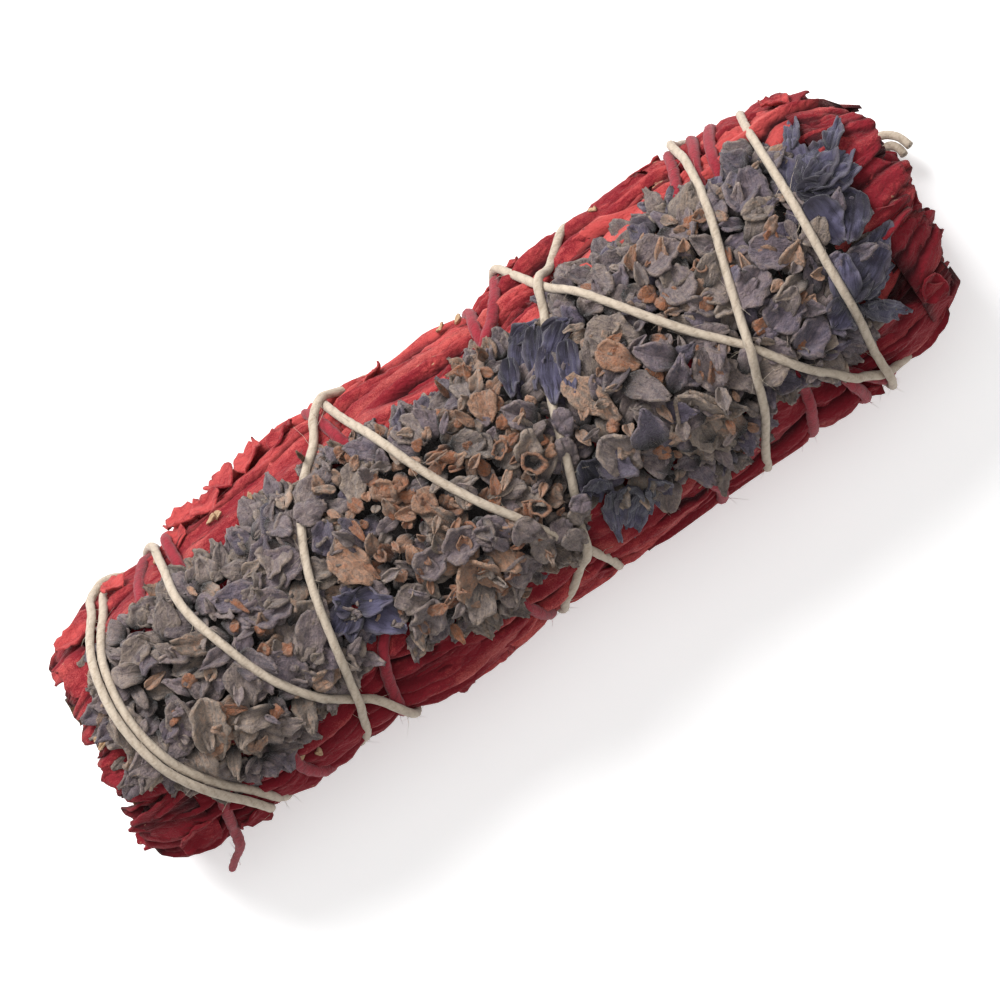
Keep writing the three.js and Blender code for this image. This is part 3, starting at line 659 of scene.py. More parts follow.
moundX, moundY = [np.arange(*moundMade[name], moundMade["cell"]) for name in ("x", "y")]
gridX, gridY = np.meshgrid(moundX, moundY, indexing="ij")
for head in heads:
    head["inside"] = insideDistance(head, gridX, gridY)
    share = np.clip(head["inside"] / moundMade["reach"], 0, 1)
    dome = moundMade["edge"] + (head["height"] - moundMade["edge"]) * (1 - (1 - share) ** 2) ** 0.5
    head["rise"] = np.where(head["inside"] > 0, dome, 0)
lumps = noiseAt(np.stack([gridX, gridY, 0 * gridX], axis=-1), moundMade["lumpSize"], 50)
moundHeights = np.max([head["rise"] for head in heads], axis=0) * (1 + moundMade["lumps"] * lumps)


def lookUp(table, x, y):
    i = np.clip((x - moundX[0]) / moundMade["cell"], 0, len(moundX) - 1.001)
    j = np.clip((y - moundY[0]) / moundMade["cell"], 0, len(moundY) - 1.001)
    a, b = i.astype(int), j.astype(int)
    u, v = i - a, j - b
    return (table[a, b] * (1 - u) * (1 - v) + table[a + 1, b] * u * (1 - v)
            + table[a, b + 1] * (1 - u) * v + table[a + 1, b + 1] * u * v)


# Height of the flower heads over the skin; none on the lower half of the stick
def moundRise(x, angle):
    x, angle = np.broadcast_arrays(np.asarray(x, float), angle)
    plus, minus, _ = outlineAt(x)
    across = np.sin(np.radians(angle))
    y = across * (np.where(across >= 0, plus, minus) + moundMade["overSkin"])
    return np.where(np.cos(np.radians(angle)) > 0, lookUp(moundHeights, x, y), 0)


# The place on the skin, or some height over it, that is seen at x, y from above
def seenAngle(x, y, over):
    x, y = np.asarray(x, float), np.asarray(y, float)
    plus, minus, _ = outlineAt(x)
    side = np.where(y >= 0, plus, minus) + over
    return np.degrees(np.arcsin(np.clip(y / side, -0.985, 0.985)))


def seenPlace(x, y, lift):
    angle = seenAngle(x, y, 1.5)
    rise = moundRise(x, angle) + lift
    angle = seenAngle(x, y, rise)
    return skinPlace(x, angle, rise)


leavesMade = {
    "along": 0.76,   # spacing of the mesh
    "across": 0.34,
    "core": ((110, 36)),   # rows and columns of the core's mesh
    "grain": 0.35,  # spacing of the mesh of the leaf ends
    "coreDepth": 1.7,                  # the pressed core under the leaves
    "corePlace": (-46.5, 93.0),        # where it starts, and its length
    "pinch": 0.6,                      # how deep the cords press in
    "skirt": 1.6,                      # how deep a leaf's border is turned under
    "slit": 0.31, "roll": 0.8,         # half widths of a crease and of the roll beside it
    "tallest": 1.25,
    "columns": 11,
    "endThick": 0.24,
    "endRadius": 13,                   # of the bundle where the leaf ends stand
    "endFrom": (-44.5, 42.5),          # x at which they start
    "cuts": (-15, 16),                 # x at which one leaf follows another, more or less
    # at the ends of the bundle: depth in the bundle, leaf ends in one sprig
    "ends": ((1.0, 2), (0.84, 2), (0.66, 1), (0.45, 1), (0.24, 1)),
}


def pinched(x, angle):
    red = np.exp(-(nearRed.at(x, angle) / 1.15) ** 2)
    white = np.exp(-(nearWhite.at(x, angle) / 1.0) ** 2)
    return leavesMade["pinch"] * np.maximum(red, white * 0.8)


# Lengthwise creases: each a narrow slit with a roll along one side of it
def creased(u, v, half, creases, seed):
    height, open_ = np.zeros(np.broadcast(u, v).shape), np.ones(np.broadcast(u, v).shape)
    for k, (middle, slope, start, end, depth, side) in enumerate(creases):
        spot = np.stack([u * 6, u * 0 + k * 3.7, u * 0 + seed], axis=-1)
        centre = middle + slope * (u - 0.5) + 0.13 * noiseAt(spot, 1.3, seed)
        apart = (v - centre) * half * side
        live = smoothStep(start, start + 0.14, u) * (1 - smoothStep(end - 0.16, end, u))
        slit = live * np.exp(-(apart / leavesMade["slit"]) ** 2)
        roll = live * np.exp(-((apart - 1.05) / leavesMade["roll"]) ** 2)
        under = live * np.exp(-((apart + 0.8) / 0.9) ** 2)
        height += depth * (roll * 0.6 - slit * 0.85 - under * 0.3)
        open_ = np.minimum(open_, 1 - np.minimum(1, slit * 1.15 + 0.25 * under))
    return height, open_


# Painted light and shade: the leaves are lighter on the +Y flank, which faces the key light, and darker on the
# -Y flank
def paintedFlankShade(angle):
    return -0.62 * smoothStep(0.1, 0.9, -np.sin(np.radians(angle))) + 0.2


def leafPatch(heap, leaf):
    draw = np.random.default_rng(leaf["seed"])
    length = abs(leaf["x1"] - leaf["x0"])
    way = np.sign(leaf["x1"] - leaf["x0"])
    half = leaf["half"]
    u, v = sheetShares(int(length / leavesMade["along"] / leaf["coarse"]),
                       int(2 * half / leavesMade["across"] / leaf["coarse"]))
    offset = draw.uniform(0, 500)

    def noiseLine(s, row, size):
        return noiseAt(np.stack([s + offset, 0 * s + row, 0 * s], axis=-1), size, leaf["seed"])

    # the outline: a broad blade, toothed, and torn in places
    wide = np.sin(np.pi * np.clip(u ** leaf["belly"], 0.02, 0.98)) ** 0.42
    along = u * length
    tooth = 0.16 * np.abs(np.sin(along * np.pi / 1.3 + draw.uniform(0, 6)))
    torn = 0.7 * noiseLine(along, 0, 3.4) + 0.3 * noiseLine(along, 9, 1.0)
    sway = noiseLine(along, 4, 15.0)
    endTorn = 1.1 * noiseLine(v * half, 2, 2.2) + 0.25 * noiseLine(v * half, 5, 1.0)
    x = leaf["x0"] + way * (length * u + 0 * v)
    x = x + way * endTorn * (u**6 - (1 - u) ** 6)
    x = x - way * leaf["round"] * np.abs(v) ** 2.5 * (u**4 - (1 - u) ** 4)
    turned = np.degrees((v * (wide * half + tooth + torn) + sway) / stick["unrolledRadius"])
    angle = leaf["a0"] + (leaf["a1"] - leaf["a0"]) * u + turned

    # its folds, from broad swells to fine wrinkles
    flat = unrolled(x, angle) + [0, 0, leaf["seed"] * 7.7]
    height, open_ = creased(u, v, half, leaf["creases"], leaf["seed"])
    swell = noiseAt(flat, (20, 3.4, 3.4), 70) * 0.85 + noiseAt(flat, (6, 2.2, 2.2), 71) * 0.42
    wrinkle = (0.4 - np.abs(noiseAt(flat, (3.2, 1.1, 1.1), 72))) * 0.34
    wrinkle = wrinkle + noiseAt(flat, (1.4, 0.6, 0.6), 73) * 0.12
    wrinkle = wrinkle + (0.35 - np.abs(noiseAt(flat, (0.9, 2.6, 2.6), 75))) * 0.16
    edge = np.maximum(np.abs(v) ** 7, np.maximum(u**16, (1 - u) ** 16))
    lifted = leaf["curl"] * np.clip(noiseLine(along, 20, 6.0) + 0.25, 0, 1) * np.abs(v) ** 5
    rise = leaf["layer"] + height + swell + wrinkle + 0.35 * (1 - v**2) - 0.5 * edge + lifted
    rise = np.minimum(rise - pinched(x, angle), leavesMade["tallest"])
    # painted light and shade: the fold value is low in the slits, under the rolls and at the turned-under
    # border, and high on swells and wrinkles
    fold = np.clip(open_ * (0.75 + 0.35 * swell + 0.7 * wrinkle), 0, 1) * (1 - 0.5 * edge)
    side = np.abs(np.sin((along - np.abs(v) * half * 0.9) * np.pi / 2.3))
    vein = np.maximum(np.exp(-(v * half / 0.2) ** 2) * (1 - u),
                      0.5 * (1 - smoothStep(0.0, 0.16, side)) * (1 - np.abs(v) ** 3))

    # the border is turned down under the leaf, so that no leaf ends in the air
    aroundAngle = np.pad(angle, 1, mode="edge")
    points = skinPlace(np.pad(x, 1, mode="edge"), aroundAngle,
                       np.pad(rise, 1, constant_values=-leavesMade["skirt"]))
    points[..., 2] = np.maximum(points[..., 2], 0.04)
    ends = 0.65 * smoothStep(8, 40, -points[..., 0]) + 0.6 * smoothStep(38, 47, points[..., 0])
    heap.add(points, gridQuads(*points.shape[:2]), fold=np.pad(fold, 1), vein=np.pad(vein, 1), pale=0.0,
             tone=leaf["tone"] + paintedFlankShade(aroundAngle) - ends)


# The pressed core of one sprig, with its long folds
def corePatch(heap, index):
    rows, columns = leavesMade["core"]
    u, v = sheetShares(rows, columns)
    x = leavesMade["corePlace"][0] + leavesMade["corePlace"][1] * u + 0 * v
    angle = index * 60.0 + 30.4 * v + 0 * u
    flat = unrolled(x, angle)
    folds = np.abs(noiseAt(flat, (16, 2.2, 2.2), 31 + index)) * 1.5 + noiseAt(flat, (4, 1.4, 1.4), 32) * 0.35
    points = skinPlace(x, angle, folds - leavesMade["coreDepth"] - pinched(x, angle))
    points[..., 2] = np.maximum(points[..., 2], 0.06)
    # painted shade: the low fold values give the core the dark crease colour where it shows between the leaves
    heap.add(points, gridQuads(rows, columns), fold=np.clip(folds * 0.4, 0, 0.45), tone=0.35)
    # its ends, drawn in towards the middle in rough steps
    for ring in (points[0], points[-1]):
        centre = np.array([ring[0, 0], 0.0, stick["axisHeight"]])
        cap = centre + (ring[None] - centre) * np.linspace(1, 0.03, 10)[:, None, None]
        push = noiseAt(cap, (1.5, 1.3, 1.3), 44 + index) * 1.5
        push[0] = 0
        cap[..., 0] += push
        heap.add(cap, gridQuads(10, columns), fold=np.clip(0.2 + push * 0.3, 0, 0.5), tone=0.4)


# A leaf end at either end of the bundle: a thin folded sheet with a ragged border
def endLeaf(heap, x0, x1, angle, depth, halfTurn, seed, flare):
    draw = np.random.default_rng(seed)
    way = np.sign(x1 - x0)
    length = abs(x1 - x0)
    arc = math.radians(halfTurn) * leavesMade["endRadius"] * depth
    rows = max(8, int(length / leavesMade["grain"] / 1.4))
    columns = max(12, int(2 * arc * 1.25 / leavesMade["grain"]))
    u, v = sheetShares(rows, columns)
    spot = np.stack([u * length + 0 * v, v * arc + 0 * u, np.full((rows, columns), seed * 3.3)], axis=-1)
    ragged = 1.1 * noiseAt(spot * [0, 1, 1], 2.2, seed) + 0.3 * noiseAt(spot * [0, 1, 1], 1.0, seed + 1)
    tooth = 0.14 * np.abs(np.sin(v * arc * np.pi / 1.25 + draw.uniform(0, 5)))
    x = x0 + (x1 - x0 + way * (ragged + tooth - 2.2 * np.abs(v) ** 3)) * u
    turn = angle + halfTurn * v * (1 - 0.15 * u)
    creases = [(draw.uniform(-0.9, 0.9), draw.uniform(-0.3, 0.3), -0.3, 1.4, draw.uniform(0.5, 1.3),
                draw.choice([-1, 1])) for _ in range(int(1 + arc / 3.2))]
    height, open_ = creased(u, v, arc, creases, seed % 97)
    wave = 0.9 * noiseAt(spot, (6.0, 3.2, 3.2), seed + 2) + 0.3 * noiseAt(spot, (2.0, 1.2, 1.2), seed + 3)
    points = skinPlace(x, turn, (height * 0.6 + wave) * (0.4 + 0.6 * u) + flare * u**1.6, depth)
    points[..., 2] = np.maximum(points[..., 2], 0.3)
    # painted shade: the fold value is low in the slits and towards the foot of the leaf end, inside the bundle
    fold = np.clip(open_ * (0.8 + 0.2 * wave), 0.38, 0.9) * (0.5 + 0.5 * smoothStep(0, 0.5, u))
    vein = 0.5 * (1 - smoothStep(0.0, 0.2, np.abs(np.sin(v * 6 + u * 2))))
    addSheet(heap, points, leavesMade["endThick"], fold=fold, vein=vein,
             tone=draw.uniform(-0.15, 0.15) + paintedFlankShade(turn))


def drawCreases(draw, count):
    creases = []
    places = np.linspace(-0.85, 0.85, count) + draw.uniform(-0.5, 0.5, count) * 1.2 / max(count, 1)
    for place in places:
        start = draw.uniform(-0.3, 0.45)
        creases.append((place, draw.uniform(-0.35, 0.35), start, start + draw.uniform(0.45, 1.2),
                        draw.uniform(0.6, 1.9), draw.choice([-1, 1])))
    return creases


# Where the leaves end, by their place across the stick
def endOf(side, y):
    if side < 0:
        return -50.3 + 0.12 * y
    return float(np.interp(y, [-14, -10.5, -7, 0, 6, 10, 14], [44.5, 47.5, 49.0, 49.6, 49.4, 47.6, 44.5]))


def allLeaves():
    draw = np.random.default_rng(8)
    leaves = []
    columns = leavesMade["columns"]
    lowCut, highCut = leavesMade["cuts"]
    for layer in range(2):
        for column in range(columns):
            middle = (column + 0.5 * layer) * 360 / columns
            y = 12 * math.sin(math.radians(middle))
            cuts = [endOf(-1, y) + draw.uniform(-0.2, 2.4), lowCut + draw.uniform(-9, 9),
                    highCut + draw.uniform(-8, 8), endOf(1, y) - draw.uniform(-0.2, 2.4)]
            for first, second in zip(cuts[:-1], cuts[1:]):
                overlap = draw.uniform(3, 8)
                low = first - (overlap if first > -45 else 0)
                high = second + (overlap if second < 45 else 0)
                flip = draw.random() < 0.5
                tilt = draw.uniform(-10, 10)
                half = draw.uniform(4.3, 6.3) if layer else draw.uniform(5.0, 6.0)
                leaves.append({
                    "x0": high if flip else low, "x1": low if flip else high,
                    "a0": middle + draw.uniform(-6, 6) - tilt, "a1": middle + draw.uniform(-6, 6) + tilt,
                    "half": half, "belly": draw.uniform(0.75, 1.15), "round": draw.uniform(0.5, 3.0),
                    "layer": -1.0 + 0.7 * layer + draw.uniform(-0.1, 0.3), "coarse": 1.0 if layer else 1.45,
                    "creases": drawCreases(draw, int(draw.integers(2, 5))),
                    "curl": draw.uniform(0.0, 1.5), "tone": draw.uniform(0.1, 0.9),
                    "seed": int(draw.integers(1, 9999)),
                })
    return leaves


# One blade: from its foot along a way, with the side that faces out. Names that its form
# doesn't hold are values of its points, such as hue and tone.
bladeForm = {"lean": 0.2, "cup": 0.4, "curl": -0.2, "ruffle": 0.3, "taper": 0.3, "thick": 0.13, "crease": 0.2,
             "rough": 0.3, "jagged": 0.3, "veins": 0.0, "rows": 10, "columns": 9}


def blade(heap, foot, way, out, length, width, seed, press=None, **changes):
    form = {**bladeForm, **changes}
    way = unit(way)
    side = unit(np.cross(way, out))
    out = np.cross(side, way)
    rows, columns = form["rows"], form["columns"]
    s, t = sheetShares(rows, columns)
    wide = width / 2 * (0.2 + 0.8 * np.sin(np.pi * np.clip(s, 0, 0.99) ** 0.8) ** 0.6)
    wide = wide * (1 - form["taper"] * smoothStep(0.45, 1.0, s))
    spot = np.stack([s * length + 0 * t, t * wide, np.full((rows, columns), seed * 1.37)], axis=-1)
    across = t * wide * (1 + form["jagged"] * noiseAt(spot, 1.1, seed + 1))
    up = form["lean"] * s * length + form["cup"] * t**2 * wide * (1.2 - 0.4 * s)
    up = up + form["curl"] * s**2 * length * 0.5 - form["crease"] * np.exp(-((t / 0.22) ** 2))
    up = up + form["ruffle"] * np.abs(t) ** 1.5 * noiseAt(spot, 1.1, seed + 5) * (0.4 + s)
    up = up + form["rough"] * (noiseAt(spot, 1.5, seed + 2) + 0.7 * noiseAt(spot, 0.6, seed + 3)) * (0.3 + s)
    vein = (1 - smoothStep(0.0, 0.3, np.abs(np.sin(t * 5.2 + 0.6 * s)))) * np.sin(np.pi * s * 0.95)
    up = up - form["veins"] * vein
    forward = s * length * (1 - 0.12 * abs(form["curl"]) * s) + 0.18 * noiseAt(spot, 0.9, seed + 4) * s
    points = foot + forward[..., None] * way + across[..., None] * side + up[..., None] * out
    points[..., 2] = np.maximum(points[..., 2], 0.4)
    if press:
        points = press(points)
    # root is a painted-shade mask: high at a blade's foot, where the bract and petal paints darken it
    values = {"rim": np.maximum(np.abs(t), s**3), "root": (1 - s) ** 1.6, "vein": vein, "across": t * wide,
              "along": s * length}
    values.update((name, value) for name, value in changes.items() if name not in bladeForm)
    addSheet(heap, points, form["thick"], **values)


# A form with each pair of limits replaced by a number drawn between them
def drawnForm(draw, form):
    return {name: draw.uniform(*value) if isinstance(value, tuple) else value for name, value in form.items()}


# Torn bits of leaf that stand off the skin: x, degrees round, heading (0 along the stick, 90 round it),
# length, width, how far the tip lifts
leafFlaps = [
    (-20.8, 80, 50, 3.4, 3.0, 1.9), (-23.8, 80, 110, 3.0, 2.8, 2.1), (-26.4, 70, 100, 2.8, 3.0, 1.2),
    (-28.8, 76, 140, 3.6, 3.0, 1.8), (-31.0, 66, 70, 2.6, 2.4, 1.0), (-17.0, 76, 30, 3.2, 2.6, 1.2),
    (-6.2, 80, 40, 2.6, 2.0, 0.4), (9.5, 88, 15, 4.6, 1.8, 0.6), (26.5, 88, 10, 5.0, 1.8, 0.6),
    (-38.5, 74, 120, 3.0, 2.4, 0.6),
    (-44.0, 60, 160, 4.0, 3.0, 0.5), (43.0, 70, 150, 2.6, 2.6, 0.6), (-12.0, -78, -60, 2.6, 2.4, 0.4),
    (-16.5, -84, -120, 2.4, 2.0, 0.6), (-40.5, -74, -140, 3.6, 3.0, 0.4), (-45.5, -60, -170, 4.0, 3.4, 0.5),
    (33.0, -80, -40, 3.0, 2.2, 0.5), (44.5, -50, -160, 2.6, 3.0, 0.4), (1.5, -82, -30, 2.8, 1.8, 0.5),
]
# undyed flecks, by their place in the photograph, with their length
paleFlecks = [
    (155, 560, 1.1), (209, 521, 1.3), (217, 516, 0.9), (437, 327, 1.0), (456, 320, 0.9), (724, 154, 1.0),
    (303, 757, 1.2), (318, 753, 0.9), (104, 745, 1.5), (99, 738, 1.1), (590, 207, 0.8), (250, 500, 0.8),
]
flapForm = {"curl": 0.1, "taper": 0.1, "ruffle": 0.6, "rough": 0.3, "thick": 0.2}


# A small blade on the leaf skin, headed some degrees away from the stick's own way
def skinBlade(heap, x, angle, heading, rise, length, width, lift, seed, **values):
    place = skinPlace(x, angle, rise)
    along = unit(skinPlace(x + 0.5, angle, rise) - place)
    round_ = unit(skinPlace(x, angle + 2, rise) - place)
    turn = math.radians(heading)
    way = along * math.cos(turn) + round_ * math.sin(turn)
    blade(heap, place - way * length * 0.3, way, np.cross(along, round_), length, width, seed,
          lean=lift / length, **flapForm, **values)


leafHeaps = [Heap() for _ in range(6)]


def sprigAt(angle):
    return leafHeaps[int(round(angle / 60)) % 6]


for leaf in allLeaves():
    leafPatch(sprigAt((leaf["a0"] + leaf["a1"]) / 2), leaf)
for index, heap in enumerate(leafHeaps):
    corePatch(heap, index)
    draw = np.random.default_rng(300 + index)
    for depth, count in leavesMade["ends"]:
        for k in range(count):
            turn = index * 60 + (k - (count - 1) / 2) * 60 / count + draw.uniform(-8, 8)
            half = 60 / count * draw.uniform(0.5, 0.75)
            seed = newSeed(draw, 9999)
            inner = (1.0 - depth) * 1.5
            y = leavesMade["endRadius"] * depth * math.sin(math.radians(turn))
            endLeaf(heap, leavesMade["endFrom"][0], endOf(-1, y) + draw.uniform(-0.3, 1.0) + inner,
                    turn, depth, half, seed, draw.uniform(-1.0, 0.7))
            endLeaf(heap, leavesMade["endFrom"][1], endOf(1, y) - draw.uniform(-0.3, 1.0) - inner,
                    turn + 11, depth, half, seed + 7, draw.uniform(-1.6, 0.3))
draw = np.random.default_rng(77)
for x, angle, heading, length, width, lift in leafFlaps:
    tone = draw.uniform(0.3, 0.6) + float(paintedFlankShade(angle))
    skinBlade(sprigAt(angle), x, angle, heading, 0.15, length * 1.15, width * 1.15, lift * 0.5,
              newSeed(draw, 9999), fold=0.72, tone=tone)
for px, py, length in paleFlecks:
    x, y = fromPhoto(px, py, height=20.0)
    angle = float(seenAngle(x, y, 0.6))
    skinBlade(sprigAt(angle), float(x), angle, draw.uniform(-30, 30), 0.45, length, 0.55, 0.2,
              newSeed(draw, 9999), fold=1.0, tone=0.6, pale=1.0)
for number, heap in enumerate(leafHeaps, 1):
    heap.toPiece(f"sageLeaves{number}", leafPaint, [f"sage_leaves_{number}"], "dyed_leaves")
print("leaves done")


# What the cords lie on
def solidTree(heaps):
    whole = Heap()
    for heap in heaps:
        whole.add(*heap.arrays())
    points, quads = whole.arrays()
    return BVHTree.FromPolygons(points.tolist(), quads.tolist())


def riseOver(tree, x, angle):
    rises = []
    for start, end in zip(skinPlace(x, angle, cordsMade["rayFrom"]), skinPlace(x, angle, 0.0)):
        hit = tree.ray_cast(Vector(start), Vector(end - start).normalized())
        rises.append(cordsMade["rayFrom"] - hit[3] if hit[0] is not None else -1.0)
    return np.array(rises)


# Heights of a cord's middle over the skin: taut over what it lies on, and over strands laid before
def cordHeights(cord, route, tree, earlier, overHeads):
    x, angle = route
    radius = cord["radius"]
    rise = riseOver(tree, x, angle)
    if overHeads:
        mound = moundRise(x, angle)
        rise = np.where(mound > 0.3, np.maximum(rise, mound + cordsMade["overHeads"]), rise)
    # pulled taut over the ridges: straight between them, but for the round of the stick
    lowest = smoothed(rise, 2) - cord["bite"]
    taut = lowest.copy()
    sag = cordsMade["spacing"] ** 2 / 2 / stick["unrolledRadius"]
    for _ in range(cordsMade["tautRounds"]):
        taut[1:-1] = np.maximum(lowest[1:-1], (taut[:-2] + taut[2:]) / 2 - sag)
    height = smoothed(taut, 3) + radius
    # lifted over the strands that it crosses, its own earlier turns among them
    places = unrolled(x, angle)
    around = 2 * math.pi * stick["unrolledRadius"]
    ownReach = int(cordsMade["ownReach"] / cordsMade["spacing"])
    lifted = height.copy()
    for i in range(len(x)):
        own = max(0, i - ownReach)
        for otherPlaces, otherHeights, otherRadius in earlier + [(places[:own], lifted[:own], radius)]:
            gap = otherPlaces - places[i]
            gap[:, 1] = (gap[:, 1] + around / 2) % around - around / 2
            apart = np.hypot(gap[:, 0], gap[:, 1])
            near = apart < cordsMade["crossReach"]
            if near.any():
                over = otherHeights[near] + (otherRadius + radius) * cordsMade["crossPress"]
                weight = 1 - smoothStep(0.55, cordsMade["crossReach"], apart[near])
                lifted[i] = max(lifted[i], (height[i] + (over - height[i]) * weight).max())
    return np.maximum(lifted, smoothed(lifted, 3)), places


def cordTube(heap, points, cord, seed):
    points = smoothed(points, 2)
    tangent = unit(np.gradient(points, axis=0))
    normal = np.zeros_like(points)
    normal[0] = unit(np.cross(tangent[0], [0, 0, 1.0]))
    for i in range(1, len(points)):
        normal[i] = unit(normal[i - 1] - tangent[i] * np.dot(normal[i - 1], tangent[i]))
    other = np.cross(tangent, normal)
    length = np.concatenate([[0], np.cumsum(np.linalg.norm(np.diff(points, axis=0), axis=1))])[:, None]
    turn = np.linspace(0, 2 * np.pi, cordsMade["sides"], endpoint=False)[None, :]
    lobe = np.abs(np.sin(cord["lobes"] / 2 * (turn - length / cord["lay"] * 2 * np.pi)))
    spot = np.stack([length + 0 * turn, np.cos(turn) + 0 * length, np.sin(turn) + 0 * length], axis=-1)
    rough = noiseAt(spot, (2.2, 0.8, 0.8), seed) * 0.06 + noiseAt(spot, (9, 3, 3), seed + 1) * 0.07
    radius = cord["radius"] * (1 - cord["lobeDepth"] + cord["lobeDepth"] * 1.6 * lobe**0.8 + rough)
    radius = radius * (1 - (1 - cord["endShare"]) * smoothStep(9.0, 4.0, length[-1] - length))
    ring = points[:, None] + radius[..., None] * (
        np.cos(turn)[..., None] * normal[:, None] + np.sin(turn)[..., None] * other[:, None])
    # closed ends
    first, last = [points[i, None] + (ring[i] - points[i, None]) * 0.25 for i in (0, -1)]
    ring = np.concatenate([first[None], ring, last[None]])
    # lay: high on the crests of the plies, used by the cord paint as painted shade in the grooves
    heap.add(ring, gridQuads(*ring.shape[:2], True), lay=np.concatenate([lobe[:1], lobe, lobe[-1:]]))


# Loose fibres: thin three-sided hairs that leave the cord at a low angle
def addFibres(heap, points, radius, seed):
    draw = np.random.default_rng(seed)
    for _ in range(cordsMade["fibres"]):
        i = int(draw.integers(3, len(points) - 4))
        tangent = unit(points[i + 2] - points[i - 2])
        out = draw.normal(size=3)
        out = unit(out - tangent * np.dot(out, tangent))
        way = unit(tangent * draw.choice([-1, 1]) * draw.uniform(0.5, 1.0) + out * draw.uniform(0.25, 0.8))
        bend = draw.normal(size=3) * 0.25
        length = draw.uniform(*cordsMade["fibreLength"])
        steps = np.linspace(0, 1, 3)[:, None]
        line = points[i] + out * radius * 0.8 + way * length * steps + bend * steps**2 * length
        line[:, 2] = np.maximum(line[:, 2], 0.05)
        side = unit(np.cross(way, out))
        up = np.cross(side, way)
        thick = cordsMade["fibreRadius"] * (1 - 0.6 * steps)
        ring = np.stack([line + side * thick, line - side * thick * 0.5 + up * thick * 0.87,
                         line - side * thick * 0.5 - up * thick * 0.87], axis=1)
        heap.add(ring, gridQuads(3, 3, True), lay=0.9)


leafTree = solidTree(leafHeaps)


def layCord(name, cord, route, earlier, seed, paint, node, slot, overHeads=False):
    height, places = cordHeights(cord, route, leafTree, earlier, overHeads)
    points = skinPlace(*route, height)
    points[:, 2] = np.maximum(points[:, 2], cord["radius"] + 0.1)
    line = smoothLine([*cord["start"], *points[::3], *cord["end"]], cordsMade["spacing"])
    heap = Heap()
    cordTube(heap, line, cord, seed)
    addFibres(heap, line, cord["radius"], seed + 1)
    heap.toPiece(name, paint, [node], slot)
    return line, (places, height, cord["radius"])


_, redLaid = layCord("redTieCord", redCordMade, redRoute, [], 3, redPaint, "red_tie_cord", "red_cord")
print("red cord done")

# The white cord goes over the leaves, the red cord and the heads
whiteLine, _ = layCord("whiteTieCord", whiteCordMade, whiteRoute, [redLaid], 8, whitePaint, "white_tie_cord",
                       "white_cord", overHeads=True)
print("white cord done")

topWhite = whiteLine[whiteLine[:, 2] > 16]
cordAbove = treeOf(topWhite * [1, 1, 0])
pressMade = {"reach": 0.95, "far": 6, "under": 0.75, "slope": 0.9}


# Points near the white cord are pressed down under it
def pressUnder(points):
    flat = points.reshape(-1, 3)
    middle = flat.mean(axis=0)
    if cordAbove.find((middle[0], middle[1], 0))[2] > pressMade["far"]:
        return points
    for point in flat:
        _, index, apart = cordAbove.find((point[0], point[1], 0))
        if apart < pressMade["reach"]:
            roof = topWhite[index, 2] - whiteCordMade["radius"] * pressMade["under"]
            roof = roof + pressMade["slope"] * smoothStep(0.45, pressMade["reach"], apart)
            point[2] = min(point[2], roof)
    return points


# Blue petals: foot, tip, width, height over the head
petalsMade = {
    "blue_floret_1": [
        ((522, 322), (516, 390), 2.6, 0.7), ((536, 326), (534, 384), 2.4, 0.9),
        ((512, 345), (536, 316), 2.2, 1.0),
        ((562, 322), (545, 366), 2.6, 1.9), ((548, 345), (554, 402), 3.0, 2.0),
        ((566, 340), (572, 392), 2.4, 0.8),
        ((545, 335), (568, 318), 2.2, 1.0), ((508, 358), (512, 396), 2.0, 0.4)],
    "blue_floret_2": [
        ((352, 606), (333, 600), 2.8, 0.6), ((351, 608), (338, 634), 3.6, 0.5),
        ((356, 610), (376, 646), 3.8, 0.6),
        ((360, 606), (404, 630), 3.6, 0.7), ((358, 602), (388, 600), 3.0, 0.9),
        ((350, 602), (360, 588), 2.6, 0.7),
        ((345, 612), (352, 640), 2.6, 0.3)],
    "blue_floret_3": [
        ((612, 492), (619, 536), 2.4, 0.4), ((646, 490), (633, 537), 3.2, 0.5),
        ((628, 486), (627, 518), 3.2, 0.2),
        ((582, 462), (608, 500), 4.6, 0.7), ((650, 480), (668, 500), 3.0, 0.3),
        ((600, 480), (592, 508), 3.2, 0.3)],
    "blue_floret_4": [
        ((803, 192), (790, 134), 4.2, 0.8), ((793, 148), (793, 108), 1.7, 0.6),
        ((806, 190), (832, 124), 4.0, 0.9),
        ((830, 150), (841, 115), 2.0, 0.7), ((808, 190), (857, 138), 3.6, 0.8),
        ((812, 192), (858, 166), 3.0, 0.6),
        ((800, 188), (778, 158), 3.0, 0.5), ((796, 192), (862, 196), 3.4, 1.0),
        ((856, 190), (848, 242), 3.8, 1.0),
        ((806, 202), (842, 244), 4.4, 0.5)],
    "blue_floret_5": [
        ((846, 300), (894, 220), 4.2, 0.8), ((850, 302), (872, 232), 3.4, 1.0),
        ((856, 296), (908, 262), 2.4, 0.6),
        ((862, 306), (920, 313), 2.3, 0.5), ((846, 304), (842, 256), 3.4, 0.9),
        ((852, 300), (834, 328), 4.0, 0.9),
        ((866, 300), (890, 288), 3.0, 0.5), ((870, 300), (884, 322), 2.2, 0.3)],
}
petalForm = {"cup": (-0.2, 0.6), "curl": (-0.5, 0.1), "taper": (0.3, 0.7), "ruffle": 0.9, "rough": 0.26,
             "thick": 0.18, "jagged": 0.14, "veins": 0.13, "rows": 20, "columns": 17, "tone": (0.3, 0.75)}
petalRows = sum(petalsMade.values(), [])
petalEnds = [np.array([row[end] for row in petalRows], float).T for end in (0, 1)]
petalLines = [place for ends in petalEnds for place in fromPhoto(*ends, view["headHeight"])]
petalWidths = np.array([row[2] for row in petalRows])


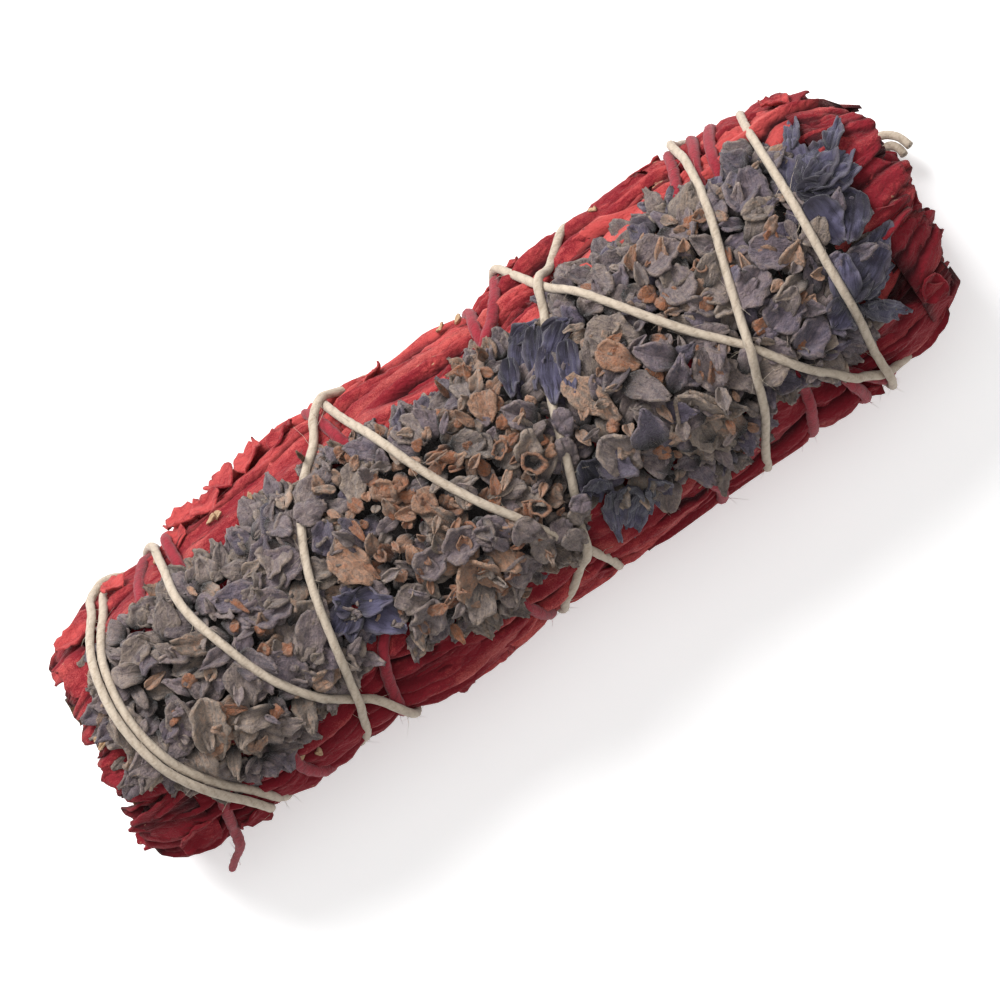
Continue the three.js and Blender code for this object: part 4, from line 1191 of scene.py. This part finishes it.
# Whether a place is clear of the petals
def clearOf(x, y, reach):
    return np.all(lineDistance(x, y, *petalLines) >= petalWidths * reach)


# The way out of a head at x, y
def outAt(x, y):
    angle = math.radians(seenAngle(x, y, 2.5))
    return np.array([0.0, math.sin(angle) * 0.9, math.cos(angle) + 0.25])


# A flat way laid down at right angles to out
def laidDown(way, out):
    return way - out * np.dot(way, out) / np.dot(out, out)


# A blade between two places of the photograph
def placedBlade(heap, footPx, tipPx, width, lift, seed, press=pressUnder, tipLift=None, **changes):
    ax, ay = fromPhoto(*footPx, view["headHeight"])
    bx, by = fromPhoto(*tipPx, view["headHeight"])
    foot = seenPlace(ax, ay, lift)
    way = seenPlace(bx, by, lift * 0.7 if tipLift is None else tipLift) - foot
    blade(heap, foot, way, outAt((ax + bx) / 2, (ay + by) / 2), np.linalg.norm(way) * 1.04, width, seed, press,
          **{"lean": 0.0, "curl": -0.25, **changes})


# Scattered places in a head, no nearer to each other than the spacing
def scatter(head, spacing, draw, border=0.0, reach=0.3):
    taken = []
    corners = np.array(head["outline"], float)
    for _ in range(9000):
        px, py = draw.uniform(corners.min(axis=0), corners.max(axis=0))
        x, y = fromPhoto(px, py)
        if lookUp(head["inside"], x, y) < border or not clearOf(x, y, reach):
            continue
        if taken and np.min(np.hypot(*(np.array(taken) - [x, y]).T)) < spacing:
            continue
        taken.append((float(x), float(y)))
    return taken


bractsMade = {
    "flower_head_1": {"spacing": 1.55, "size": (2.4, 4.3), "hue": (0.46, 0.14), "brown": 0.04, "bits": 2.6},
    "flower_head_2": {"spacing": 1.45, "size": (1.9, 3.8), "hue": (0.5, 0.17), "brown": 0.26, "bits": 1.5},
    "flower_head_3": {"spacing": 1.65, "size": (2.5, 4.6), "hue": (0.36, 0.18), "brown": 0.1, "bits": 2.0},
}
headsMade = {
    # the low rings of bracts at a head's border: how far inside, height over the skin, spacing
    "rings": ((0.9, 0.8, 1.25), (1.7, 1.3, 1.45)),
    "sparse": 1.0,
    "bitsSparse": 1.0,
    "chaff": 3,             # blades in one placed bit
    "hairs": 3000,
    "hairLength": (0.25, 0.65),
}
# Shapes of the bracts: a pair of numbers is a range to draw from, in this order
bractForms = {
    "border": {"lean": (-0.12, 0.22), "cup": (-0.4, 0.7), "curl": (-0.35, 0.3), "taper": (0.2, 0.85),
               "ruffle": 0.75, "rough": 0.46, "thick": 0.28, "tone": (0.1, 0.8)},
    "scattered": {"lean": (0.0, 0.75), "cup": (-0.6, 0.8), "curl": (-0.9, 0.4), "taper": (0.15, 0.85),
                  "ruffle": 0.75, "rough": 0.46, "thick": 0.28, "tone": (0.15, 0.9)},
    "bit": {"lean": (-0.1, 0.4), "cup": (-0.8, 1.2), "curl": (-1, 0.6), "rough": 0.36, "ruffle": 0.6,
            "rows": 9, "columns": 8, "tone": (0.3, 0.9), "root": 0.0},
    "placed": {"cup": (0.1, 0.7), "taper": (0.1, 0.5), "ruffle": 0.6, "rough": 0.4, "thick": 0.34,
               "rows": 16, "columns": 12, "root": 0.3 * (1 - np.linspace(0, 1, 16)[:, None]) ** 2},
    "chaff": {"cup": -1.0, "curl": -0.8, "ruffle": 0.3, "rough": 0.22, "rows": 8, "columns": 8,
              "tone": 0.85, "root": 0.0},
    "cover": {"cup": -0.25, "curl": -0.35, "ruffle": 0.9, "rough": 0.6, "thick": 0.3, "rows": 16,
              "columns": 13, "tone": 0.5, "root": 0.0},
}
# foot, tip, width, height over the head, hue from blue-mauve to orange-brown, tone
placedBracts = {
    "flower_head_1": [
        ((162, 768), (125, 789), 2.5, 0.4, 0.62, 0.7), ((118, 708), (150, 762), 3.2, 0.6, 0.55, 0.5),
        ((204, 698), (219, 763), 3.7, 1.1, 0.63, 0.75), ((238, 662), (252, 710), 3.4, 1.0, 0.5, 0.55),
        ((236, 730), (278, 755), 2.7, 0.8, 0.6, 0.6), ((278, 722), (317, 735), 2.5, 0.6, 0.48, 0.5),
        ((270, 655), (312, 690), 3.3, 0.8, 0.3, 0.5), ((312, 610), (312, 668), 3.0, 0.8, 0.4, 0.5),
        ((313, 684), (341, 671), 2.2, 0.5, 0.74, 0.6), ((160, 628), (167, 588), 2.0, 0.6, 0.6, 0.6),
        ((215, 602), (284, 594), 3.2, 0.9, 0.2, 0.45), ((97, 662), (106, 712), 2.2, 0.3, 0.74, 0.8),
        ((112, 700), (101, 736), 1.8, 0.3, 0.72, 0.8), ((302, 556), (240, 588), 4.0, 0.9, 0.3, 0.5),
        ((292, 602), (238, 618), 3.4, 0.6, 0.3, 0.5), ((268, 503), (280, 568), 2.2, 1.1, 0.12, 0.05),
        ((284, 512), (300, 560), 2.6, 0.7, 0.42, 0.4), ((208, 772), (262, 770), 2.6, 0.4, 0.5, 0.5),
        ((176, 700), (190, 752), 2.6, 0.8, 0.5, 0.4), ((285, 508), (282, 478), 1.9, 1.2, 0.68, 1.0),
        ((146, 640), (122, 668), 2.6, 0.7, 0.55, 0.6),
    ],
    "flower_head_2": [
        ((331, 550), (373, 581), 3.6, 0.9, 0.80, 0.75), ((463, 562), (498, 604), 4.6, 1.0, 0.79, 0.75),
        ((356, 462), (353, 504), 2.7, 0.9, 0.58, 0.6), ((480, 392), (488, 422), 2.8, 0.9, 0.83, 0.6),
        ((416, 494), (437, 511), 2.6, 0.9, 0.84, 0.6), ((374, 484), (396, 500), 2.2, 0.9, 0.83, 0.5),
        ((398, 424), (424, 440), 3.0, 0.8, 0.5, 0.6), ((445, 556), (480, 530), 3.4, 0.9, 0.35, 0.55),
        ((420, 575), (446, 545), 3.2, 0.8, 0.36, 0.5), ((400, 590), (430, 612), 3.4, 0.7, 0.5, 0.5),
        ((480, 520), (510, 545), 3.0, 0.8, 0.3, 0.5), ((470, 400), (458, 372), 2.6, 0.6, 0.5, 0.5),
        ((435, 600), (420, 640), 3.6, 0.6, 0.45, 0.5), ((505, 575), (545, 560), 3.0, 0.6, 0.4, 0.4),
        ((325, 520), (322, 556), 2.4, 0.6, 0.1, 0.5), ((500, 600), (520, 585), 2.4, 0.5, 0.5, 0.4),
    ],
    "flower_head_3": [
        ((596, 350), (638, 367), 2.8, 1.1, 0.87, 0.7), ((563, 380), (619, 419), 3.1, 1.1, 0.72, 0.75),
        ((688, 392), (704, 464), 5.6, 1.2, 0.64, 0.7), ((676, 398), (736, 452), 4.4, 1.1, 0.58, 0.7),
        ((586, 330), (636, 344), 4.6, 0.9, 0.55, 0.65), ((738, 212), (752, 156), 3.6, 0.9, 0.2, 0.5),
        ((742, 218), (776, 200), 2.4, 1.0, 0.6, 0.6), ((748, 248), (804, 256), 3.6, 0.9, 0.24, 0.55),
        ((772, 330), (800, 288), 3.8, 0.9, 0.2, 0.5), ((796, 350), (826, 320), 3.4, 0.8, 0.18, 0.5),
        ((640, 268), (676, 240), 4.2, 0.8, 0.4, 0.6), ((690, 300), (660, 268), 3.8, 0.8, 0.42, 0.55),
        ((612, 290), (576, 282), 3.8, 0.7, 0.45, 0.6), ((700, 350), (720, 392), 3.6, 0.9, 0.4, 0.5),
        ((640, 400), (668, 440), 3.6, 0.8, 0.4, 0.45), ((600, 440), (640, 470), 4.0, 0.8, 0.5, 0.6),
        ((690, 238), (668, 206), 3.2, 0.6, 0.35, 0.5), ((730, 300), (700, 275), 3.6, 0.8, 0.5, 0.6),
        ((760, 270), (745, 300), 3.0, 0.8, 0.3, 0.5), ((720, 200), (700, 226), 3.0, 0.7, 0.3, 0.4),
    ],
}
# small orange and tan bits, by place and size
placedBits = {
    "flower_head_1": [(182, 644, 1.3), (190, 680, 1.5), (173, 717, 1.5), (286, 650, 1.5), (265, 650, 1.3),
                      (278, 713, 1.4), (234, 625, 1.2), (261, 627, 1.3), (119, 719, 1.2)],
    "flower_head_2": [(504, 422, 1.7), (505, 445, 1.8), (383, 493, 1.9), (395, 512, 1.5), (372, 478, 1.4),
                      (350, 455, 1.2), (440, 415, 1.3)],
    "flower_head_3": [(652, 378, 2.3), (664, 454, 1.8), (612, 427, 1.3), (763, 328, 2.0), (648, 295, 1.9),
                      (662, 303, 1.7), (706, 306, 1.6), (732, 272, 1.3), (770, 238, 1.4), (690, 222, 1.6),
                      (618, 352, 1.4), (800, 345, 1.3)],
}
placedCups = {
    "flower_head_1": [],
    "flower_head_2": [(532, 462, 1.25), (539, 508, 1.0), (500, 450, 0.9)],
    "flower_head_3": [(700, 268, 0.7)],
}


# A small dry cup with painted shade inside, and a pale torn rim
def dryCup(heap, place, out, radius, seed, hue):
    turn = np.linspace(0, 2 * np.pi, 16, endpoint=False)[None, :]
    # of each ring: radius, height, how pale, how much painted shade
    profile = np.array([(0.15, -0.9, 0, 0.6), (0.6, -0.6, 0.2, 0.3), (0.85, 0.0, 0.4, 0.1), (1.0, 0.55, 0.8, 0),
                        (0.92, 0.72, 1, 0), (0.74, 0.6, 0.8, 0.25), (0.62, 0.1, 0.2, 0.8), (0.4, -0.3, 0, 1),
                        (0.05, -0.45, 0, 1)])
    wide, tall, rim, hollowShade = [column[:, None] for column in profile.T]
    side = unit(np.cross(out, [1.0, 0.3, 0.2]))
    other = np.cross(out, side)
    wobble = 1 + 0.22 * np.sin(turn * 2 + seed) + 0.1 * np.sin(turn * 5 + seed * 2)
    ring = place + radius * ((wide * wobble * np.cos(turn))[..., None] * side
                             + (wide * wobble * np.sin(turn))[..., None] * other
                             + (tall + 0.15 * np.sin(turn * 3 + seed) * rim)[..., None] * out)
    heap.add(pressUnder(ring), gridQuads(*ring.shape[:2], True), rim=rim, root=hollowShade, tone=0.7, hue=hue,
             across=radius * turn, along=rim)


# Short woolly hairs that stand on the upper faces
def addWool(heap, seed):
    count = headsMade["hairs"]
    draw = np.random.default_rng(seed)
    points, quads = heap.arrays()
    corner = points[quads]
    normal = np.cross(corner[:, 2] - corner[:, 0], corner[:, 3] - corner[:, 1])
    size = np.linalg.norm(normal, axis=1) + 1e-9
    chance = size * (normal[:, 2] > -0.2 * size)
    picked = draw.choice(len(quads), count, p=chance / chance.sum())
    root = corner[picked].mean(axis=1)
    way = unit(normal[picked] / size[picked, None] + draw.normal(size=(count, 3)) * 0.7)
    side = unit(np.cross(way, [0.3, 0.5, 0.8]))
    other = np.cross(way, side)
    length = draw.uniform(*headsMade["hairLength"], count)
    turn = np.arange(3) * 2 * np.pi / 3
    round_ = np.cos(turn)[None, :, None] * side[:, None] + np.sin(turn)[None, :, None] * other[:, None]
    foot = (root - way * 0.06)[:, None] + round_ * 0.026
    tip = (root + way * length[:, None])[:, None] + round_ * 0.008
    hairs = np.stack([foot, tip], axis=1)
    quad = np.array([(0, 1, 4, 3), (1, 2, 5, 4), (2, 0, 3, 5)])
    quads = (np.arange(count)[:, None, None] * 6 + quad).reshape(-1, 4)
    heap.add(hairs, quads, rim=0.5, tone=0.8, hue=draw.uniform(0.3, 0.65, (count, 1, 1)))


# The imported heart of a head, seen only in the gaps: a dark sheet painted in the hollow shade colour
def addHeart(heap, head, corners):
    middle = corners.mean(axis=0)
    outline = smoothLine(np.concatenate([corners, corners[:1]]), 1.2)[:-1]
    flat = middle + (outline[None] - middle) * np.linspace(0.0, 0.94, 16)[:, None, None]
    under = seenAngle(flat[..., 0], flat[..., 1], 1.5)
    heart = skinPlace(flat[..., 0], under, moundRise(flat[..., 0], under) * 0.6 - 0.9)
    heart[..., 2] += 0.35 * noiseAt(heart, 1.3, head["seed"])
    heart[-1] = skinPlace(flat[-1, :, 0], under[-1], -1.6)
    heap.add(pressUnder(heart), gridQuads(*heart.shape[:2], True), tone=0.3, hue=0.5, root=0.85,
             across=heart[..., 0], along=heart[..., 1])


def drawnHue(draw, made):
    return float(np.clip(draw.normal(*made["hue"]), 0.05, 0.76))


# One low ring of bracts that hang over the border
def addBorder(heap, head, corners, draw, inside, rise, spacing):
    made = bractsMade[head["node"]]
    border = smoothLine(np.concatenate([corners, corners[:1]]), spacing * headsMade["sparse"])[:-1]
    along = unit(np.roll(border, -1, axis=0) - np.roll(border, 1, axis=0))
    inward = np.stack([-along[:, 1], along[:, 0]], axis=1)
    inward *= np.sign(np.sum(inward * (corners.mean(axis=0) - border)))
    for (bx, by), (ix, iy) in zip(border, inward):
        x, y = bx + ix * inside + draw.normal() * 0.3, by + iy * inside + draw.normal() * 0.3
        if not clearOf(x, y, 0.25):
            continue
        out = outAt(x, y)
        turn = draw.normal() * 0.6
        c, s = math.cos(turn), math.sin(turn)
        way = laidDown(np.array([-ix * c + iy * s, -iy * c - ix * s, 0.0]), out)
        size = draw.uniform(*made["size"]) * 0.82
        foot = skinPlace(x, float(seenAngle(x, y, 1.0)), rise + draw.uniform(-0.3, 0.3))
        blade(heap, foot, way, out, size, size * draw.uniform(0.5, 0.85), newSeed(draw), pressUnder,
              **drawnForm(draw, bractForms["border"]), hue=drawnHue(draw, made))


# The bracts that fill a head, pointing outwards at its border
def addScattered(heap, head, corners, draw):
    made = bractsMade[head["node"]]
    for x, y in scatter(head, made["spacing"] * headsMade["sparse"], draw):
        rim = math.exp(-float(lookUp(head["inside"], np.array(x), np.array(y))) / 1.8)
        heading = np.array([x, y]) - corners.mean(axis=0)
        heading = heading / (np.linalg.norm(heading) + 1e-6) * (0.35 + 0.9 * rim)
        heading = heading + np.array(head["tip"]) * 0.3 + draw.normal(size=2) * (0.75 - 0.35 * rim)
        foot = seenPlace(x, y, draw.uniform(-0.9, 0.0) - 0.3 * rim)
        out = outAt(x, y)
        way = laidDown(np.array([*heading, 0.0]), out)
        size = draw.uniform(*made["size"])
        hue = drawnHue(draw, made)
        if draw.random() < made["brown"] * (1 - rim):
            hue = draw.uniform(0.78, 0.96)
            size *= 0.7
        width = size * draw.uniform(0.45, 0.85)
        seed = newSeed(draw)
        form = drawnForm(draw, bractForms["scattered"])
        form["lean"] = form["lean"] * (1 - rim) - 0.15 * rim
        blade(heap, foot - unit(way) * size * 0.35, way, out, size * 1.08, width, seed, pressUnder,
              **form, hue=hue)


def addBits(heap, head, draw):
    made = bractsMade[head["node"]]
    for x, y in scatter(head, made["bits"] * headsMade["bitsSparse"], draw, 0.8, 0.6):
        turn = draw.uniform(0, 2 * math.pi)
        way = np.array([math.cos(turn), math.sin(turn), draw.uniform(0, 0.6)])
        hues = (0.8, 1.0) if draw.random() < made["brown"] * 2.4 else (0.3, 0.8)
        blade(heap, seenPlace(x, y, draw.uniform(0.0, 0.5)), way, outAt(x, y), draw.uniform(1.0, 3.0),
              draw.uniform(0.6, 1.5), newSeed(draw), pressUnder, **drawnForm(draw, bractForms["bit"]),
              hue=draw.uniform(*hues))


# What is placed where the photograph shows it
def addPlaced(heap, head, draw):
    for foot, tip, width, lift, hue, tone in placedBracts[head["node"]]:
        placedBlade(heap, foot, tip, width, lift * 0.8, newSeed(draw), **drawnForm(draw, bractForms["placed"]),
                    tone=tone, hue=hue)
    for px, py, size in placedBits[head["node"]]:
        for k in range(headsMade["chaff"]):
            turn = draw.uniform(0, 6.3)
            dx, dy = size * 4.5 * math.cos(turn), size * 4.5 * math.sin(turn)
            placedBlade(heap, (px - dx, py - dy), (px + dx, py + dy), size * 0.95, 0.75 + 0.15 * k,
                        newSeed(draw), **bractForms["chaff"], hue=draw.uniform(0.9, 1.0))
    for px, py, radius in placedCups[head["node"]]:
        x, y = fromPhoto(px, py, height=28.0)
        tilt = unit(outAt(x, y) + draw.normal(size=3) * 0.25)
        dryCup(heap, seenPlace(x, y, 0.9), tilt, radius, newSeed(draw, 99), 0.9)


def flowerHead(head):
    heap = Heap()
    draw = np.random.default_rng(head["seed"])
    corners = cornersOf(head)
    addHeart(heap, head, corners)
    for ring in headsMade["rings"]:
        addBorder(heap, head, corners, draw, *ring)
    addScattered(heap, head, corners, draw)
    addBits(heap, head, draw)
    addPlaced(heap, head, draw)
    return heap


headHeaps = [flowerHead(head) for head in heads]
# A few bracts lie over the white cord where it dips out of sight: head, foot, tip, width, hue
coverBracts = [
    (0, (300, 506), (316, 470), 3.4, 0.45), (0, (296, 520), (322, 500), 3.2, 0.4),
    (1, (560, 440), (578, 474), 2.6, 0.4), (1, (520, 520), (534, 538), 2.4, 0.5),
    (1, (574, 508), (592, 526), 3.2, 0.55), (1, (566, 536), (590, 548), 3.0, 0.5),
    (2, (556, 410), (570, 436), 2.4, 0.3), (1, (514, 528), (546, 540), 3.2, 0.45),
    (1, (552, 560), (536, 534), 3.0, 0.52),
    (1, (566, 520), (556, 546), 2.8, 0.38), (2, (590, 500), (572, 510), 2.6, 0.3),
    (1, (582, 566), (566, 548), 2.4, 0.55),
]
for k, (owner, foot, tip, width, hue) in enumerate(coverBracts):
    x, y = fromPhoto((foot[0] + tip[0]) / 2, (foot[1] + tip[1]) / 2, view["headHeight"])
    _, index, apart = cordAbove.find((float(x), float(y), 0))
    overCord = float(topWhite[index, 2] - seenPlace(x, y, 0.0)[2]) + 0.85
    lift = max(0.9, overCord) if apart < 3 else 0.9
    placedBlade(headHeaps[owner], foot, tip, width * 0.85, lift, 700 + k, None, lift,
                **bractForms["cover"], hue=hue)
for number, (head, heap) in enumerate(zip(heads, headHeaps)):
    addWool(heap, 50 + number)
    heap.toPiece(f"flowerHead{number + 1}", bractPaint, [head["node"]], "flower_bracts")
print("flower heads done")

for index, (node, petals) in enumerate(petalsMade.items()):
    heap = Heap()
    draw = np.random.default_rng(900 + index)
    for k, (foot, tip, width, lift) in enumerate(petals):
        lift += 0.55
        placedBlade(heap, foot, tip, width, lift, 100 + index * 10 + k,
                    None if node == "blue_floret_1" else pressUnder, lift * 0.8, **drawnForm(draw, petalForm))
    heap.toPiece(f"blueFloret{index + 1}", petalPaint, [node], "petals")
print("petals done")

stemsMade = {"from": -49.4, "to": 17.6, "radius": 1.45, "place": 0.46, "rows": 36, "sides": 16}


# A stem with a rough slanted end; share is 0 on the bark and goes from 0 to 1 over the cut
def stemPiece(index):
    heap = Heap()
    middle = index * 60.0
    x = np.linspace(stemsMade["from"] + 0.5 * math.sin(index * 2.1), stemsMade["to"], stemsMade["rows"])
    out = stemsMade["place"] * stick["halfHeight"] + np.sin(x / 9 + middle) * 0.35
    across, up = math.sin(math.radians(middle)), math.cos(math.radians(middle))
    centre = np.stack([x, across * out, stick["axisHeight"] + up * out], axis=1)[:, None]
    turn = np.linspace(0, 2 * np.pi, stemsMade["sides"], endpoint=False)[None, :]
    round_ = np.stack([0 * turn, np.cos(turn), np.sin(turn)], axis=-1)
    spot = round_ * 2 + x[:, None, None] * [1, 0, 0]
    rough = 0.07 * np.cos(turn * 4) + 0.08 * noiseAt(spot, (6, 1.2, 1.2), 60 + index)
    radius = stemsMade["radius"] * (1 + rough)
    ring = centre + radius[..., None] * round_
    rings, shares = [], []
    for share in (0.1, 0.4, 0.75, 0.97):
        disc = centre[:1] + (ring[:1] - centre[:1]) * share
        disc[..., 0] += 0.3 * noiseAt(disc, 0.8, 61 + index) + 0.45 * (1 - share)
        disc[..., 0] += 0.25 * (disc[..., 1] - centre[0, 0, 1])
        rings.append(disc)
        shares.append(share)
    tail = centre[-1:] + (ring[-1:] - centre[-1:]) * 0.1
    points = np.concatenate(rings + [ring, tail])
    shares = np.array(shares + [0.0] * (len(ring) + 1))[:, None]
    heap.add(points, gridQuads(*points.shape[:2], True), cut=(shares > 0) * 1.0, share=shares)
    heap.toPiece(f"sageStem{index + 1}", stemPaint, [f"sage_stem_{index + 1}"], "stems")


for index in range(6):
    stemPiece(index)
print("stems done")

# Floor, light and camera
room = {
    "floor": rgb(252, 252, 252), "floorShade": rgb(250, 250, 250),
    "floorReach": 2.0, "glow": 0.3,
    "key": 9.9, "keySize": 0.45, "keyPlace": (-0.12, 0.62, 0.6),
    "top": 7.0, "topSize": 1.4, "topPlace": (0.0, 0.0, 1.3),
    "world": 0.3,
    "frameWidth": 0.1, "sensor": 36.0,
}
white = (1.0, 1.0, 1.0, 1.0)
floorMesh = bpy.data.meshes.new("floor")
reach = room["floorReach"]
floorMesh.from_pydata([(-reach, -reach, 0), (reach, -reach, 0), (reach, reach, 0), (-reach, reach, 0)],
                      [], [(0, 1, 2, 3)])
floor = bpy.data.objects.new("floor", floorMesh)
bpy.context.scene.collection.objects.link(floor)
floorPaint, wire, shader = newMaterial("paleFloor", {
    "Roughness": 0.9, "Emission Color": white, "Emission Strength": room["glow"]})
finishMaterial(wire, shader, wire.noise(40.0).clipped(0, 1).mixed(room["floorShade"], room["floor"]),
               wire.noise(20.0) * 0.05 + 0.85, wire.noise(1.0), 0.00001)
floorMesh.materials.append(floorPaint)

scene = bpy.context.scene
world = bpy.data.worlds.new("studio")
scene.world = world
world.use_nodes = True
background = world.node_tree.nodes["Background"]
background.inputs["Color"].default_value = white
background.inputs["Strength"].default_value = room["world"]
scene.view_settings.view_transform = "Standard"
scene.view_settings.look = "None"


def areaLight(name, place, size, power):
    lamp = bpy.data.lights.new(name, "AREA")
    lamp.shape = "DISK"
    lamp.size = size
    lamp.energy = power
    holder = bpy.data.objects.new(name, lamp)
    holder.location = place
    holder.rotation_euler = (Vector((0, 0, 0.015)) - Vector(place)).to_track_quat("-Z", "Y").to_euler()
    scene.collection.objects.link(holder)


areaLight("keyLight", room["keyPlace"], room["keySize"], room["key"])
areaLight("topLight", room["topPlace"], room["topSize"], room["top"])

camera = bpy.data.cameras.new("camera")
camera.sensor_width = room["sensor"]
camera.lens = room["sensor"] * view["distance"] * 0.001 / room["frameWidth"]
camera.clip_end = 20.0
holder = bpy.data.objects.new("camera", camera)
aim = (np.array(view["aim"]) + stick["shift"]) * 0.001
holder.location = (aim[0], aim[1], aim[2] + view["distance"] * 0.001)
holder.rotation_euler = (0, 0, -math.atan2(view["turn"][1], view["turn"][0]))
scene.collection.objects.link(holder)
scene.camera = holder
